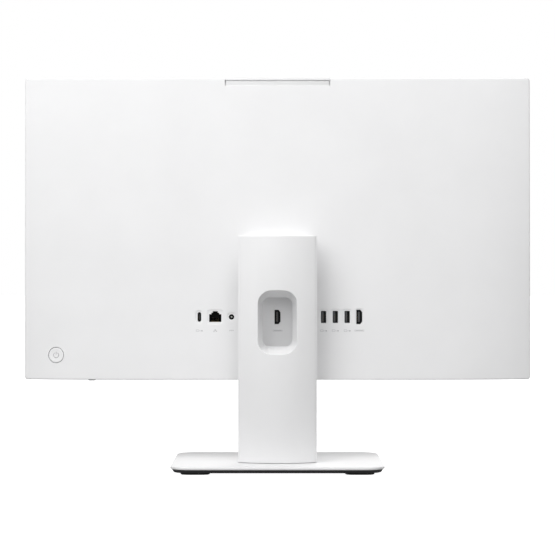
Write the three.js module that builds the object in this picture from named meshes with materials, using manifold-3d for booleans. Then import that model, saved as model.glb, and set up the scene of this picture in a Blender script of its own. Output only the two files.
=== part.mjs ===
// An all-in-one desktop computer: a 24-inch display body that holds the whole computer,
// on a column stand with a tilt hinge, a cable funnel and a heavy base plate.
// Millimetres, +Z up. The screen faces -Y. The origin is on the desk, under the middle of the base.
import * as THREE from "three";
import { mergeVertices } from "three/addons/utils/BufferGeometryUtils.js";
import Module from "manifold-3d";

const wasm = await Module();
wasm.setup();

// ---------- Driving dimensions ----------
const GAP = 0.3; // between two pieces that touch
const OVER = 1; // how far a cutting tool runs past the face it cuts
const ROUND = 4; // straight steps in a quarter turn of a rounded corner
const SIDES = 16; // sides of a turned piece
const HINGE_SIDES = 24; // a multiple of 4, so that the bearing faces stay square

// Base: rubber feet, a dark underside and a painted steel plate.
const BASE_WIDTH = 221;
const BASE_DEPTH = 185;
const BASE_CORNER = 22;
const BASE_CHAMFER = 1.2;
const FOOT_HEIGHT = 2;
const UNDERSIDE_THICKNESS = 3.4;
const UNDERSIDE_INSET = 1.6;
const PLATE_THICKNESS = 3.1;
const FOOT_PAD = { width: 30, depth: 22, corner: 8, fromSide: 26, fromEnd: 18, seat: 1.4 };
const SCREW_RECESS_RADIUS = 12;

// Column: two plastic shells around a steel spine. The rear shell is crowned.
const COLUMN_WIDTH = 82.4;
const COLUMN_DEPTH = 30;
const COLUMN_CROWN = 11;
const COLUMN_FRONT = 24;
const COLUMN_TOP = 246.2;
const COLUMN_SPLIT = 8; // depth of the front shell
const COLUMN_WALL = 2.2;
const COLUMN_CORNER = 5;
const SPINE = { margin: 7.9, thickness: 3, setBack: 12 };
const SPINE_FOOT = { width: 40, thickness: 4, toe: 7, clearance: 1 };
const THUMBSCREW = { fromRear: 10.5, radius: 2.5, reach: 3, clearance: 0.4 };
const THUMBSCREW_HEAD = { radius: 9, slotWidth: 1.6, slotDepth: 1.2 };

// Cable funnel: it narrows from a wide mouth in the crowned face to the front shell.
const FUNNEL_BELOW_PORTS = 4.7;
const FUNNEL_MOUTH = { width: 40.4, height: 65.9, corner: 14 };
const FUNNEL_END = { width: 31, height: 51.3, corner: 7 };
const FUNNEL_WALL = 1.8;

// Tilt hinge.
const PIVOT_BELOW_COLUMN_TOP = 20.2;
const PIVOT_FRONT_OF_COLUMN = 11;
const PIVOT_ABOVE_DISPLAY_EDGE = 132.7;
const SHAFT_RADIUS = 3;
const SHAFT_CLEARANCE = 0.15;
const EAR_RADIUS = 7;
const EAR_THICKNESS = 3;
const EAR_SPREAD = 16; // from the middle to the display's ears
const KNUCKLE_SLOT = { beside: 4, above: 7 }; // clearance in the column round the knuckles
const NUT = { radius: 5.5, length: 3.6 };
const HINGE_PLATE = { thickness: 2.5, clearance: 1 }; // it fills the inside of the collar
const HINGE_POST = { inset: 6, radius: 4, bore: 1.75, boreDepth: 8 };
const HINGE_SCREW = { radius: 3.4, height: 2, reach: 6 };
const COLLAR = { width: 70, height: 40, wall: 2, proud: 13 };

// Display body, in a frame of its own: y = 0 at its front face, z = 0 at its lower edge.
const DISPLAY_WIDTH = 540;
const DISPLAY_HEIGHT = 322;
const DISPLAY_FRONT = -28.5; // place of the front face over the base
const DISPLAY_CORNER = 3;
const EDGE_DEPTH_BOTTOM = 22;
const EDGE_DEPTH_TOP = 18;
const CROWN_BOTTOM = 14;
const CROWN_TOP = 2;
const CROWN_POWER = 6.5; // flat in the middle, rolling forward near the sides
const COVER_WALL = 2.2;
const COVER_STEPS = 26;

// Screen stack, from the front.
const FRAME_DEPTH = 6.7;
const BEZEL_RIM = 1.4;
const CHIN_HEIGHT = 17.2;
const FRAME_WALL = 2;
const GLASS_RECESS = 0.5;
const GLASS_THICKNESS = 1.4;
const TRAY_DEPTH = 4;
const TRAY_WALL = 0.8;
const LIGHT_GUIDE_THICKNESS = 2.5;
const LED_STRIP_HEIGHT = 2.6;
const TIMING_BOARD = { width: 220, height: 18, up: 8, thickness: 1.2 };
const CHASSIS_BEHIND_TRAY = 2.5;
const CHASSIS_THICKNESS = 1.2;
const CHASSIS_MARGIN = 4;

// Circuit boards.
const BOARD_THICKNESS = 1.6;
const BOARD_STANDOFF = 4.6;
const BOARD = { x: [-170, 120], z: [22, 104] };
const STANDOFF_RADIUS = 3;
const STANDOFF_INSET = 6;
const PROCESSOR = { x: [-152, -107], z: [43, 81], thickness: 1.2 };
const MEMORY_CARD = { x: [-45, 22.6], z: [24, 54], thickness: 1.2, lower: 2.4, upper: 6.6 };
const DRIVE = { x: [30, 110], z: [25, 47], thickness: 2.4 };
const WIRELESS_CARD = { x: [-85, -63], z: [26, 56], thickness: 2 };
const CARD_LIFT = 2; // of the drive and the wireless card in their sockets
const CLOCK_BATTERY = { radius: 10, thickness: 3.2, fromSide: 15, fromTop: 14 };

// Ports in the crowned back, from the sockets' row upwards from the lower edge.
const PORT_ROW = 66.7;
const RECESS_DEPTH = 0.8;
const RECESS_MARGIN = 2.3;
const PORT_BEHIND_WALL = 0.4; // from the inside of the cover to the nearest socket

// Pop-up camera.
const CAMERA = { width: 112, height: 44, headHeight: 8.2 };
const CAMERA_WINDOW = { height: 16.5, border: 5, setback: 0.2, thickness: 1 };
const CAMERA_LENS = { radius: 4, depth: [1.5, 3.7] };
const CAMERA_BOARD = { width: 60, margin: 1.5, depth: [4, 5.2] };
const CAMERA_POCKET_DEPTH = 5.8;
const CAMERA_CLEARANCE = 0.4;
const CAMERA_GRIP = { lip: 2.3, groove: 1, grooveDepth: 2.4, bandDepth: 0.9, endInset: 0.8 };
const CAMERA_RAIL = { width: 4, reach: 30 };

// Power button.
const BUTTON = { radius: 7.95, thickness: 2.4, fromSide: 34.2, fromBottom: 26.1, travel: 1 };
const BUTTON_CLEARANCE = 0.55;
const BUTTON_STEM = { radius: 2, length: 4 };
const SWITCH = { key: 6, keyHeight: 2.5, board: [18, 14], boardThickness: 1.2 };

// Headset jack in the lower edge.
const JACK = { fromSide: 72, hole: 4.2, bore: 1.8, collar: 0.9, width: 11, depth: 6, height: 12, behind: 2.3 };

// Slots along the top and bottom faces.
const VENT = { width: 3.4, pitch: 5.94, first: 71, count: 17, depth: 6, topInset: 8, bottomInset: 6 };

// ---------- Heights that follow from them ----------
const PIVOT_HEIGHT = COLUMN_TOP - PIVOT_BELOW_COLUMN_TOP;
const DISPLAY_BOTTOM = PIVOT_HEIGHT - PIVOT_ABOVE_DISPLAY_EDGE;
const FUNNEL_HEIGHT = DISPLAY_BOTTOM + PORT_ROW - FUNNEL_BELOW_PORTS;

// ---------- Helpers ----------
const X_AXIS = new THREE.Vector3(1, 0, 0);
const Y_AXIS = new THREE.Vector3(0, 1, 0);
const Z_AXIS = new THREE.Vector3(0, 0, 1);
// Where a shape drawn in its own x and y goes when it is extruded along each axis.
const EXTRUDE_TO = {
  x: new THREE.Matrix4().makeBasis(Y_AXIS, Z_AXIS, X_AXIS),
  y: new THREE.Matrix4().makeBasis(X_AXIS, Z_AXIS, Y_AXIS.clone().negate()),
  z: new THREE.Matrix4(),
};

function spread(size, centre = 0) {
  return [centre - size / 2, centre + size / 2];
}

function block([x0, x1], [y0, y1], [z0, z1]) {
  const box = new THREE.BoxGeometry(x1 - x0, y1 - y0, z1 - z0);
  return box.translate((x0 + x1) / 2, (y0 + y1) / 2, (z0 + z1) / 2);
}

function prism(shape, axis, [from, to]) {
  const options = { depth: to - from, bevelEnabled: false, curveSegments: ROUND };
  const geometry = new THREE.ExtrudeGeometry(shape, options).applyMatrix4(EXTRUDE_TO[axis]);
  if (axis === "x") return geometry.translate(from, 0, 0);
  if (axis === "y") return geometry.translate(0, to, 0);
  return geometry.translate(0, 0, from);
}

// A rod along one axis. across holds its place on the other two axes, in x, y, z order.
function rod(axis, radius, [from, to], across, sides = SIDES) {
  const rodAlongY = new THREE.CylinderGeometry(radius, radius, to - from, sides);
  const middle = (from + to) / 2;
  if (axis === "x") return rodAlongY.rotateZ(-Math.PI / 2).translate(middle, across[0], across[1]);
  if (axis === "y") return rodAlongY.translate(across[0], middle, across[1]);
  return rodAlongY.rotateX(Math.PI / 2).translate(across[0], across[1], middle);
}

function roundedRectangle(width, height, radius, cx = 0, cy = 0) {
  const [x, y] = [width / 2 - radius, height / 2 - radius];
  const shape = new THREE.Shape();
  shape.absarc(cx + x, cy + y, radius, 0, Math.PI / 2);
  shape.absarc(cx - x, cy + y, radius, Math.PI / 2, Math.PI);
  shape.absarc(cx - x, cy - y, radius, Math.PI, 1.5 * Math.PI);
  shape.absarc(cx + x, cy - y, radius, 1.5 * Math.PI, 2 * Math.PI);
  return shape;
}

function polygon(points) {
  return new THREE.Shape(points.map(([x, y]) => new THREE.Vector2(x, y)));
}

// A closed body through rings of points. Each ring runs counter-clockwise seen from the next one.
function loft(rings) {
  const count = rings[0].length;
  const positions = rings.flat().flatMap((p) => p.toArray());
  const faces = [];
  for (let ring = 0; ring + 1 < rings.length; ring++) {
    for (let i = 0; i < count; i++) {
      const [a, b] = [ring * count + i, ring * count + ((i + 1) % count)];
      faces.push(a, b, b + count, a, b + count, a + count);
    }
  }
  const last = (rings.length - 1) * count;
  for (let i = 1; i + 1 < count; i++) {
    faces.push(0, i + 1, i, last, last + i, last + i + 1);
  }
  const geometry = new THREE.BufferGeometry();
  geometry.setAttribute("position", new THREE.Float32BufferAttribute(positions, 3));
  geometry.setIndex(faces);
  return geometry;
}

function toSolid(geometry) {
  const plain = geometry.clone();
  plain.deleteAttribute("normal");
  plain.deleteAttribute("uv");
  const { attributes, index } = mergeVertices(plain, 1e-3);
  const triVerts = new Uint32Array(index.array);
  const mesh = new wasm.Mesh({ numProp: 3, vertProperties: attributes.position.array, triVerts });
  return new wasm.Manifold(mesh);
}

function toGeometry(solid) {
  const { vertProperties, triVerts } = solid.getMesh();
  const indexed = new THREE.BufferGeometry();
  indexed.setAttribute("position", new THREE.BufferAttribute(vertProperties, 3));
  indexed.setIndex(new THREE.BufferAttribute(triVerts, 1));
  const faceted = indexed.toNonIndexed();
  faceted.computeVertexNormals();
  return faceted;
}

function cut(body, ...tools) {
  return toGeometry(tools.reduce((left, tool) => left.subtract(toSolid(tool)), toSolid(body)));
}

function join(...bodies) {
  return toGeometry(bodies.map(toSolid).reduce((all, body) => all.add(body)));
}

function shared(first, second) {
  return toGeometry(toSolid(first).intersect(toSolid(second)));
}

function finish(color, roughness, metalness = 0) {
  return new THREE.MeshStandardMaterial({ color, roughness, metalness });
}

const WHITE = finish(0xf1f1f1, 0.45);
const WHITE_PAINT = finish(0xf3f3f3, 0.35);
const BLACK = finish(0x18181a, 0.5);
const SCREEN = finish(0x0a0b0d, 0.08);
const ACRYLIC = finish(0xe8eef0, 0.2);
const RUBBER = finish(0x1c1c1d, 0.85);
const STEEL = finish(0xb4b6b9, 0.35, 1);
const ALUMINIUM = finish(0xc9cbce, 0.3, 1);
const COPPER = finish(0xb9714a, 0.3, 1);
const CIRCUIT = finish(0x1f5b3a, 0.5);
const SILICON = finish(0x303236, 0.3);

const computer = new THREE.Group();
const stand = new THREE.Group();
const display = new THREE.Group();
display.position.set(0, DISPLAY_FRONT, DISPLAY_BOTTOM);
computer.add(stand, display);

function add(group, name, geometry, material) {
  const mesh = new THREE.Mesh(geometry, material);
  mesh.name = name;
  group.add(mesh);
  return mesh;
}

// ---------- Base ----------
const UNDERSIDE_TOP = FOOT_HEIGHT + UNDERSIDE_THICKNESS - GAP;
const PLATE_BOTTOM = FOOT_HEIGHT + UNDERSIDE_THICKNESS;
const BASE_TOP = PLATE_BOTTOM + PLATE_THICKNESS;
const THUMBSCREW_Y = COLUMN_FRONT + COLUMN_DEPTH - THUMBSCREW.fromRear;
const SHANK_HOLE = THUMBSCREW.radius + THUMBSCREW.clearance;

function baseRing(inset, z) {
  const radius = BASE_CORNER - inset;
  const outline = roundedRectangle(BASE_WIDTH - 2 * inset, BASE_DEPTH - 2 * inset, radius);
  return outline.getPoints(ROUND).map((p) => new THREE.Vector3(p.x, p.y, z));
}

function footPads() {
  const x = BASE_WIDTH / 2 - FOOT_PAD.fromSide;
  const y = BASE_DEPTH / 2 - FOOT_PAD.fromEnd;
  return { front_left: [-x, -y], front_right: [x, -y], rear_left: [-x, y], rear_right: [x, y] };
}

function buildBase() {
  const shankSpan = [PLATE_BOTTOM - OVER, BASE_TOP + OVER];
  const shankHole = rod("z", SHANK_HOLE, shankSpan, [0, THUMBSCREW_Y]);
  const plate = loft([
    baseRing(0, PLATE_BOTTOM),
    baseRing(0, BASE_TOP - BASE_CHAMFER),
    baseRing(BASE_CHAMFER, BASE_TOP),
  ]);
  add(stand, "base_plate", cut(plate, shankHole), WHITE_PAINT);

  const underside = loft([
    baseRing(2 * UNDERSIDE_INSET, FOOT_HEIGHT),
    baseRing(UNDERSIDE_INSET, UNDERSIDE_TOP),
  ]);
  const recess = [FOOT_HEIGHT - OVER, UNDERSIDE_TOP + OVER];
  const seats = Object.values(footPads()).map(([x, y]) => {
    const { width, depth, corner, seat } = FOOT_PAD;
    const outline = roundedRectangle(width + 2 * GAP, depth + 2 * GAP, corner + GAP, x, y);
    return prism(outline, "z", [FOOT_HEIGHT - OVER, FOOT_HEIGHT + seat + GAP]);
  });
  const screwRecess = rod("z", SCREW_RECESS_RADIUS, recess, [0, THUMBSCREW_Y]);
  add(stand, "base_underside", cut(underside, screwRecess, ...seats), BLACK);

  for (const [place, [x, y]] of Object.entries(footPads())) {
    const { width, depth, corner, seat } = FOOT_PAD;
    const pad = prism(roundedRectangle(width, depth, corner, x, y), "z", [0, FOOT_HEIGHT + seat]);
    add(stand, `rubber_foot_${place}`, pad, RUBBER);
  }
}

// The captive screw that holds the base to the spine, with a coin slot across its head.
function buildThumbscrew() {
  const { radius, slotWidth, slotDepth } = THUMBSCREW_HEAD;
  const place = [0, THUMBSCREW_Y];
  const headSpan = [FOOT_HEIGHT + THUMBSCREW.clearance, PLATE_BOTTOM - GAP];
  const head = rod("z", radius, headSpan, place, 28);
  const shank = rod("z", THUMBSCREW.radius, [headSpan[1] - OVER, BASE_TOP + THUMBSCREW.reach], place);
  const cutHeight = [headSpan[0] - OVER, headSpan[0] + slotDepth];
  const slot = block(spread(1.4 * radius), spread(slotWidth, THUMBSCREW_Y), cutHeight);
  add(stand, "base_thumbscrew", cut(join(head, shank), slot), STEEL);
}

// ---------- Column ----------
const COLUMN_REAR = COLUMN_FRONT + COLUMN_DEPTH;
const COLUMN_BOTTOM = BASE_TOP + GAP;
const SPLIT_Y = COLUMN_FRONT + COLUMN_SPLIT;
const PIVOT_Y = COLUMN_FRONT - PIVOT_FRONT_OF_COLUMN;

// The arc of the crowned face.
const CROWN_RADIUS = ((COLUMN_WIDTH / 2) ** 2 + COLUMN_CROWN ** 2) / (2 * COLUMN_CROWN);
const CROWN_CENTRE = COLUMN_REAR - CROWN_RADIUS;

// How far back a piece may reach inside the rear shell at a distance x from the middle.
function insideCrown(x) {
  return CROWN_CENTRE + Math.sqrt((CROWN_RADIUS - COLUMN_WALL) ** 2 - x ** 2);
}

// Plan of the rear shell, shrunk by inset: one crowned arc and straight sides.
function rearShellOutline(inset, front) {
  const half = COLUMN_WIDTH / 2 - inset;
  const radius = CROWN_RADIUS - inset;
  const turn = Math.asin(half / radius);
  const shape = new THREE.Shape();
  shape.absarc(0, CROWN_CENTRE, radius, Math.PI / 2 - turn, Math.PI / 2 + turn);
  shape.lineTo(-half, front);
  shape.lineTo(half, front);
  return shape;
}

// The curved front corners continue the sides of the rear shell.
function frontShellOutline(inset, rear) {
  const half = COLUMN_WIDTH / 2 - inset;
  const radius = COLUMN_CORNER - inset;
  const front = COLUMN_FRONT + inset;
  const shape = new THREE.Shape();
  shape.absarc(radius - half, front + radius, radius, Math.PI, 1.5 * Math.PI);
  shape.absarc(half - radius, front + radius, radius, 1.5 * Math.PI, 2 * Math.PI);
  shape.lineTo(half, rear);
  shape.lineTo(-half, rear);
  return shape;
}

// One ring of the funnel at y, drawn so that the loft runs towards -Y.
function funnelRing(y, grow) {
  const along = (COLUMN_REAR - y) / (COLUMN_REAR - COLUMN_FRONT - COLUMN_WALL);
  const size = (key) => THREE.MathUtils.lerp(FUNNEL_MOUTH[key], FUNNEL_END[key], along);
  const outline = roundedRectangle(
    size("width") + 2 * grow,
    size("height") + 2 * grow,
    size("corner") + grow,
    0,
    FUNNEL_HEIGHT,
  );
  return outline.getPoints(ROUND).map((p) => new THREE.Vector3(p.x, y, p.y));
}

function buildColumn() {
  const full = [COLUMN_BOTTOM, COLUMN_TOP];
  const hollow = [COLUMN_BOTTOM - OVER, COLUMN_TOP - COLUMN_WALL];
  const funnelEnd = COLUMN_FRONT + COLUMN_WALL + GAP;

  const rearBody = prism(rearShellOutline(0, SPLIT_Y + GAP), "z", full);
  const rearShell = cut(rearBody, prism(rearShellOutline(COLUMN_WALL, SPLIT_Y - OVER), "z", hollow));
  const sleeve = loft([funnelRing(COLUMN_REAR + OVER, FUNNEL_WALL), funnelRing(funnelEnd, FUNNEL_WALL)]);
  const outside = prism(rearShellOutline(0, funnelEnd - OVER), "z", full);
  const bore = loft([funnelRing(COLUMN_REAR + OVER, 0), funnelRing(funnelEnd - OVER, 0)]);
  add(stand, "column_rear_cover", cut(join(rearShell, shared(sleeve, outside)), bore), WHITE);

  const frontBody = prism(frontShellOutline(0, SPLIT_Y), "z", full);
  const frontHollow = prism(frontShellOutline(COLUMN_WALL, SPLIT_Y + OVER), "z", hollow);
  const through = [COLUMN_FRONT - OVER, COLUMN_FRONT + COLUMN_WALL + OVER];
  const { width, height, corner } = FUNNEL_END;
  const cableHole = prism(roundedRectangle(width, height, corner, 0, FUNNEL_HEIGHT), "y", through);
  const slotHalf = EAR_SPREAD + 2 * EAR_THICKNESS + NUT.length + KNUCKLE_SLOT.beside;
  const slotHeight = spread(2 * (EAR_RADIUS + KNUCKLE_SLOT.above), PIVOT_HEIGHT);
  const hingeHole = block([-slotHalf, slotHalf], through, slotHeight);
  add(stand, "column_front_cover", cut(frontBody, frontHollow, cableHole, hingeHole), WHITE);
}

function buildSpine() {
  const front = COLUMN_FRONT + SPINE.setBack;
  const depth = [front, front + SPINE.thickness];
  const width = COLUMN_WIDTH - 2 * SPINE.margin;
  const plate = block(spread(width), depth, [COLUMN_BOTTOM, PIVOT_HEIGHT + 12]);
  const clearance = 2 * (FUNNEL_WALL + 1);
  const window = roundedRectangle(
    FUNNEL_MOUTH.width + clearance,
    FUNNEL_MOUTH.height + clearance,
    FUNNEL_MOUTH.corner,
    0,
    FUNNEL_HEIGHT,
  );
  const foot = block(
    spread(SPINE_FOOT.width),
    [front - SPINE_FOOT.toe, insideCrown(SPINE_FOOT.width / 2) - SPINE_FOOT.clearance],
    [COLUMN_BOTTOM, COLUMN_BOTTOM + SPINE_FOOT.thickness],
  );
  const tapped = [COLUMN_BOTTOM - OVER, COLUMN_BOTTOM + 2 * SPINE_FOOT.thickness];
  const tapping = rod("z", SHANK_HOLE, tapped, [0, THUMBSCREW_Y]);
  const tool = prism(window, "y", [front - OVER, front + SPINE.thickness + OVER]);
  add(stand, "column_spine", cut(join(plate, foot), tool, tapping), STEEL);
}

// ---------- Tilt hinge ----------
// A flat ear seen from the side: a round eye on the pivot and a straight root at rootY.
function ear([x0, x1], pivotY, pivotZ, rootY) {
  const eye = rod("x", EAR_RADIUS, [x0, x1], [pivotY, pivotZ], HINGE_SIDES);
  const arm = block([x0, x1], [pivotY, rootY].sort((a, b) => a - b), spread(2 * EAR_RADIUS, pivotZ));
  return join(eye, arm);
}

function earPairs(inner, pivotY, pivotZ, rootY) {
  const outer = inner + EAR_THICKNESS;
  const left = ear([-outer, -inner], pivotY, pivotZ, rootY);
  return [left, ear([inner, outer], pivotY, pivotZ, rootY)];
}

const COLUMN_EARS = EAR_SPREAD + EAR_THICKNESS + GAP;
const SHAFT_HALF = COLUMN_EARS + EAR_THICKNESS + GAP + NUT.length + 1;

function buildColumnBracket() {
  const rear = COLUMN_FRONT + SPINE.setBack - GAP;
  const [front, outer] = [rear - EAR_THICKNESS, COLUMN_EARS + EAR_THICKNESS];
  const web = block([-outer, outer], [front, rear], spread(2 * EAR_RADIUS, PIVOT_HEIGHT));
  const ears = earPairs(COLUMN_EARS, PIVOT_Y, PIVOT_HEIGHT, front + OVER);
  const bore = rod(
    "x",
    SHAFT_RADIUS + SHAFT_CLEARANCE,
    [-outer - OVER, outer + OVER],
    [PIVOT_Y, PIVOT_HEIGHT],
    HINGE_SIDES,
  );
  add(stand, "hinge_column_bracket", cut(join(web, ...ears), bore), STEEL);
}

function buildShaft() {
  const place = [PIVOT_Y, PIVOT_HEIGHT];
  add(stand, "hinge_shaft", rod("x", SHAFT_RADIUS, spread(2 * SHAFT_HALF), place, HINGE_SIDES), STEEL);
  const start = COLUMN_EARS + EAR_THICKNESS + GAP;
  for (const [side, sign] of [["left", -1], ["right", 1]]) {
    const span = [sign * start, sign * (start + NUT.length)].sort((a, b) => a - b);
    const through = [span[0] - OVER, span[1] + OVER];
    const hole = rod("x", SHAFT_RADIUS + SHAFT_CLEARANCE, through, place, HINGE_SIDES);
    add(stand, `hinge_nut_${side}`, cut(rod("x", NUT.radius, span, place, 6), hole), STEEL);
  }
}

// ---------- Display body: shape of its back ----------
// Depth of the outer surface behind the front face: a wedge that thickens downwards,
// crowned from side to side.
function rearDepth(x, z) {
  const up = z / DISPLAY_HEIGHT;
  const edge = THREE.MathUtils.lerp(EDGE_DEPTH_BOTTOM, EDGE_DEPTH_TOP, up);
  const crown = THREE.MathUtils.lerp(CROWN_BOTTOM, CROWN_TOP, up);
  return edge + crown * (1 - Math.abs((2 * x) / DISPLAY_WIDTH) ** CROWN_POWER);
}

// How far back a piece may reach inside the back cover at x, z.
function innerDepth(x, z) {
  return rearDepth(x, z) - COVER_WALL;
}

// Place on the back at x, z, with its own y along the outward normal and its z up the surface.
function rearFrame(x, z) {
  const step = 0.5;
  const slopeX = (rearDepth(x + step, z) - rearDepth(x - step, z)) / (2 * step);
  const slopeZ = (rearDepth(x, z + step) - rearDepth(x, z - step)) / (2 * step);
  const normal = new THREE.Vector3(-slopeX, 1, -slopeZ).normalize();
  const up = Z_AXIS.clone().addScaledVector(normal, -normal.z).normalize();
  const across = new THREE.Vector3().crossVectors(normal, up);
  return new THREE.Matrix4().makeBasis(across, normal, up).setPosition(x, rearDepth(x, z), z);
}

// The space under the crowned surface, from front backwards and inset from the outside.
function coverBody(inset, front) {
  const half = DISPLAY_WIDTH / 2 - inset;
  const [low, high] = [inset, DISPLAY_HEIGHT - inset];
  const rings = [];
  for (let i = 0; i <= COVER_STEPS; i++) {
    const x = half * Math.sin(Math.PI * (i / COVER_STEPS - 0.5)); // closer together near the sides
    rings.push([
      new THREE.Vector3(x, front, low),
      new THREE.Vector3(x, rearDepth(x, low) - inset, low),
      new THREE.Vector3(x, rearDepth(x, high) - inset, high),
      new THREE.Vector3(x, front, high),
    ]);
  }
  return loft(rings);
}

const COVER_FRONT = FRAME_DEPTH + GAP;
const TOP_DEPTH = EDGE_DEPTH_TOP + CROWN_TOP;
const JACK_X = DISPLAY_WIDTH / 2 - JACK.fromSide;
const JACK_TOP = COVER_WALL + GAP + JACK.height;
const JACK_Y = innerDepth(JACK_X, JACK_TOP) - JACK.behind - JACK.depth / 2;
const HINGE_Z = PIVOT_HEIGHT - DISPLAY_BOTTOM;
const HINGE_Y = PIVOT_Y - DISPLAY_FRONT;
const BUTTON_X = DISPLAY_WIDTH / 2 - BUTTON.fromSide;

function displayOutline() {
  const middle = DISPLAY_HEIGHT / 2;
  return roundedRectangle(DISPLAY_WIDTH, DISPLAY_HEIGHT, DISPLAY_CORNER, 0, middle);
}

function ventSlots(y, z) {
  const slots = [];
  for (let i = 0; i < VENT.count; i++) {
    for (const side of [-1, 1]) {
      const x = side * (VENT.first + i * VENT.pitch);
      slots.push(block(spread(VENT.width, x), spread(VENT.depth, y), z));
    }
  }
  return slots;
}

function buildRearCover() {
  const envelope = prism(displayOutline(), "y", [0, EDGE_DEPTH_BOTTOM + CROWN_BOTTOM + OVER]);
  const body = shared(coverBody(0, COVER_FRONT), envelope);
  const shell = cut(body, coverBody(COVER_WALL, COVER_FRONT - OVER));

  const notchWidth = CAMERA.width + 2 * CAMERA_CLEARANCE;
  const notchBottom = DISPLAY_HEIGHT - CAMERA.headHeight - GAP;
  const notch = block(
    spread(notchWidth),
    [COVER_FRONT - OVER, TOP_DEPTH + 2 * OVER],
    [notchBottom, DISPLAY_HEIGHT + OVER],
  );
  const hingeHole = block(
    spread(COLLAR.width + 2 * GAP),
    [COVER_FRONT, HINGE_Y],
    spread(COLLAR.height + 2 * GAP, HINGE_Z),
  );
  const buttonHole = rod("y", BUTTON.radius + BUTTON_CLEARANCE, [-8, 3], [0, 0], 28);
  buttonHole.applyMatrix4(rearFrame(BUTTON_X, BUTTON.fromBottom));
  const jackHole = rod("z", JACK.hole, [-OVER, COVER_WALL + OVER], [JACK_X, JACK_Y]);
  const topWall = [DISPLAY_HEIGHT - 2 * COVER_WALL, DISPLAY_HEIGHT + OVER];
  const topVents = ventSlots(TOP_DEPTH - VENT.topInset, topWall);
  const bottomVents = ventSlots(EDGE_DEPTH_BOTTOM - VENT.bottomInset, [-OVER, 2 * COVER_WALL]);
  const windows = PORTS.flatMap(({ x, window, recess }) => [
    prism(window(x, PORT_ROW), "y", [COVER_FRONT, rearDepth(x, PORT_ROW) + 3]),
    prism(recess(0, 0), "y", [-RECESS_DEPTH, 3]).applyMatrix4(rearFrame(x, PORT_ROW)),
  ]);
  const holes = [notch, hingeHole, buttonHole, jackHole, ...topVents, ...bottomVents, ...windows];
  add(display, "rear_cover", cut(shell, ...holes), WHITE);
}

// ---------- Screen ----------
const GLASS_LOW = CHIN_HEIGHT + GAP;
const GLASS_HIGH = DISPLAY_HEIGHT - BEZEL_RIM - GAP;
const GLASS_HALF = DISPLAY_WIDTH / 2 - BEZEL_RIM - GAP;
const GLASS_REAR = GLASS_RECESS + GLASS_THICKNESS;
const TRAY_FRONT = GLASS_REAR + GAP;
const TRAY_REAR = TRAY_FRONT + TRAY_DEPTH;

function buildFrame() {
  const through = [-OVER, FRAME_DEPTH + OVER];
  const window = block(
    [-GLASS_HALF - GAP, GLASS_HALF + GAP],
    through,
    [CHIN_HEIGHT, DISPLAY_HEIGHT - BEZEL_RIM],
  );
  const chinHollow = block(
    spread(DISPLAY_WIDTH - 4 * FRAME_WALL),
    [FRAME_WALL, FRAME_DEPTH + OVER],
    [FRAME_WALL, CHIN_HEIGHT - FRAME_WALL],
  );
  const frame = cut(prism(displayOutline(), "y", [0, FRAME_DEPTH]), window, chinHollow);
  add(display, "front_frame", frame, WHITE);
}

function buildScreen() {
  const across = [-GLASS_HALF, GLASS_HALF];
  const glass = block(across, [GLASS_RECESS, GLASS_REAR], [GLASS_LOW, GLASS_HIGH]);
  add(display, "lcd_glass", glass, SCREEN);

  const inner = GLASS_HALF - TRAY_WALL;
  const tray = block(across, [TRAY_FRONT, TRAY_REAR], [GLASS_LOW, GLASS_HIGH]);
  const trayHollow = block(
    [-inner, inner],
    [TRAY_FRONT - OVER, TRAY_REAR - TRAY_WALL],
    [GLASS_LOW + TRAY_WALL, GLASS_HIGH - TRAY_WALL],
  );
  add(display, "backlight_tray", cut(tray, trayHollow), ALUMINIUM);

  const half = inner - GAP;
  const ledTop = GLASS_LOW + TRAY_WALL + GAP + LED_STRIP_HEIGHT;
  const guideDepth = [TRAY_FRONT, TRAY_FRONT + LIGHT_GUIDE_THICKNESS];
  const guideHeight = [ledTop + GAP, GLASS_HIGH - TRAY_WALL - GAP];
  add(display, "light_guide", block([-half, half], guideDepth, guideHeight), ACRYLIC);
  const ledHeight = [ledTop - LED_STRIP_HEIGHT, ledTop];
  add(display, "led_strip", block([-half, half], guideDepth, ledHeight), CIRCUIT);

  const { width, height, up, thickness } = TIMING_BOARD;
  const timingDepth = [TRAY_REAR + GAP, TRAY_REAR + GAP + thickness];
  const timing = block(spread(width), timingDepth, [GLASS_LOW + up, GLASS_LOW + up + height]);
  add(display, "timing_board", timing, CIRCUIT);
}

// ---------- Steel chassis ----------
const CHASSIS_FRONT = TRAY_REAR + CHASSIS_BEHIND_TRAY;
const CHASSIS_REAR = CHASSIS_FRONT + CHASSIS_THICKNESS;
const BOARD_FRONT = CHASSIS_REAR + BOARD_STANDOFF;
const BOARD_REAR = BOARD_FRONT + BOARD_THICKNESS;
const HINGE_PLATE_FRONT = innerDepth(0, HINGE_Z) - HINGE_PLATE.thickness - HINGE_PLATE.clearance;
const HINGE_PLATE_REAR = HINGE_PLATE_FRONT + HINGE_PLATE.thickness;
const HINGE_PLATE_WIDTH = COLLAR.width - 2 * (COLLAR.wall + HINGE_PLATE.clearance);
const HINGE_PLATE_HEIGHT = COLLAR.height - 2 * (COLLAR.wall + HINGE_PLATE.clearance);

function corners([x0, x1], [z0, z1], inset) {
  const [left, right, low, high] = [x0 + inset, x1 - inset, z0 + inset, z1 - inset];
  return [[left, low], [right, low], [left, high], [right, high]];
}

function hingePosts() {
  return corners(spread(HINGE_PLATE_WIDTH), spread(HINGE_PLATE_HEIGHT, HINGE_Z), HINGE_POST.inset);
}

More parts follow.
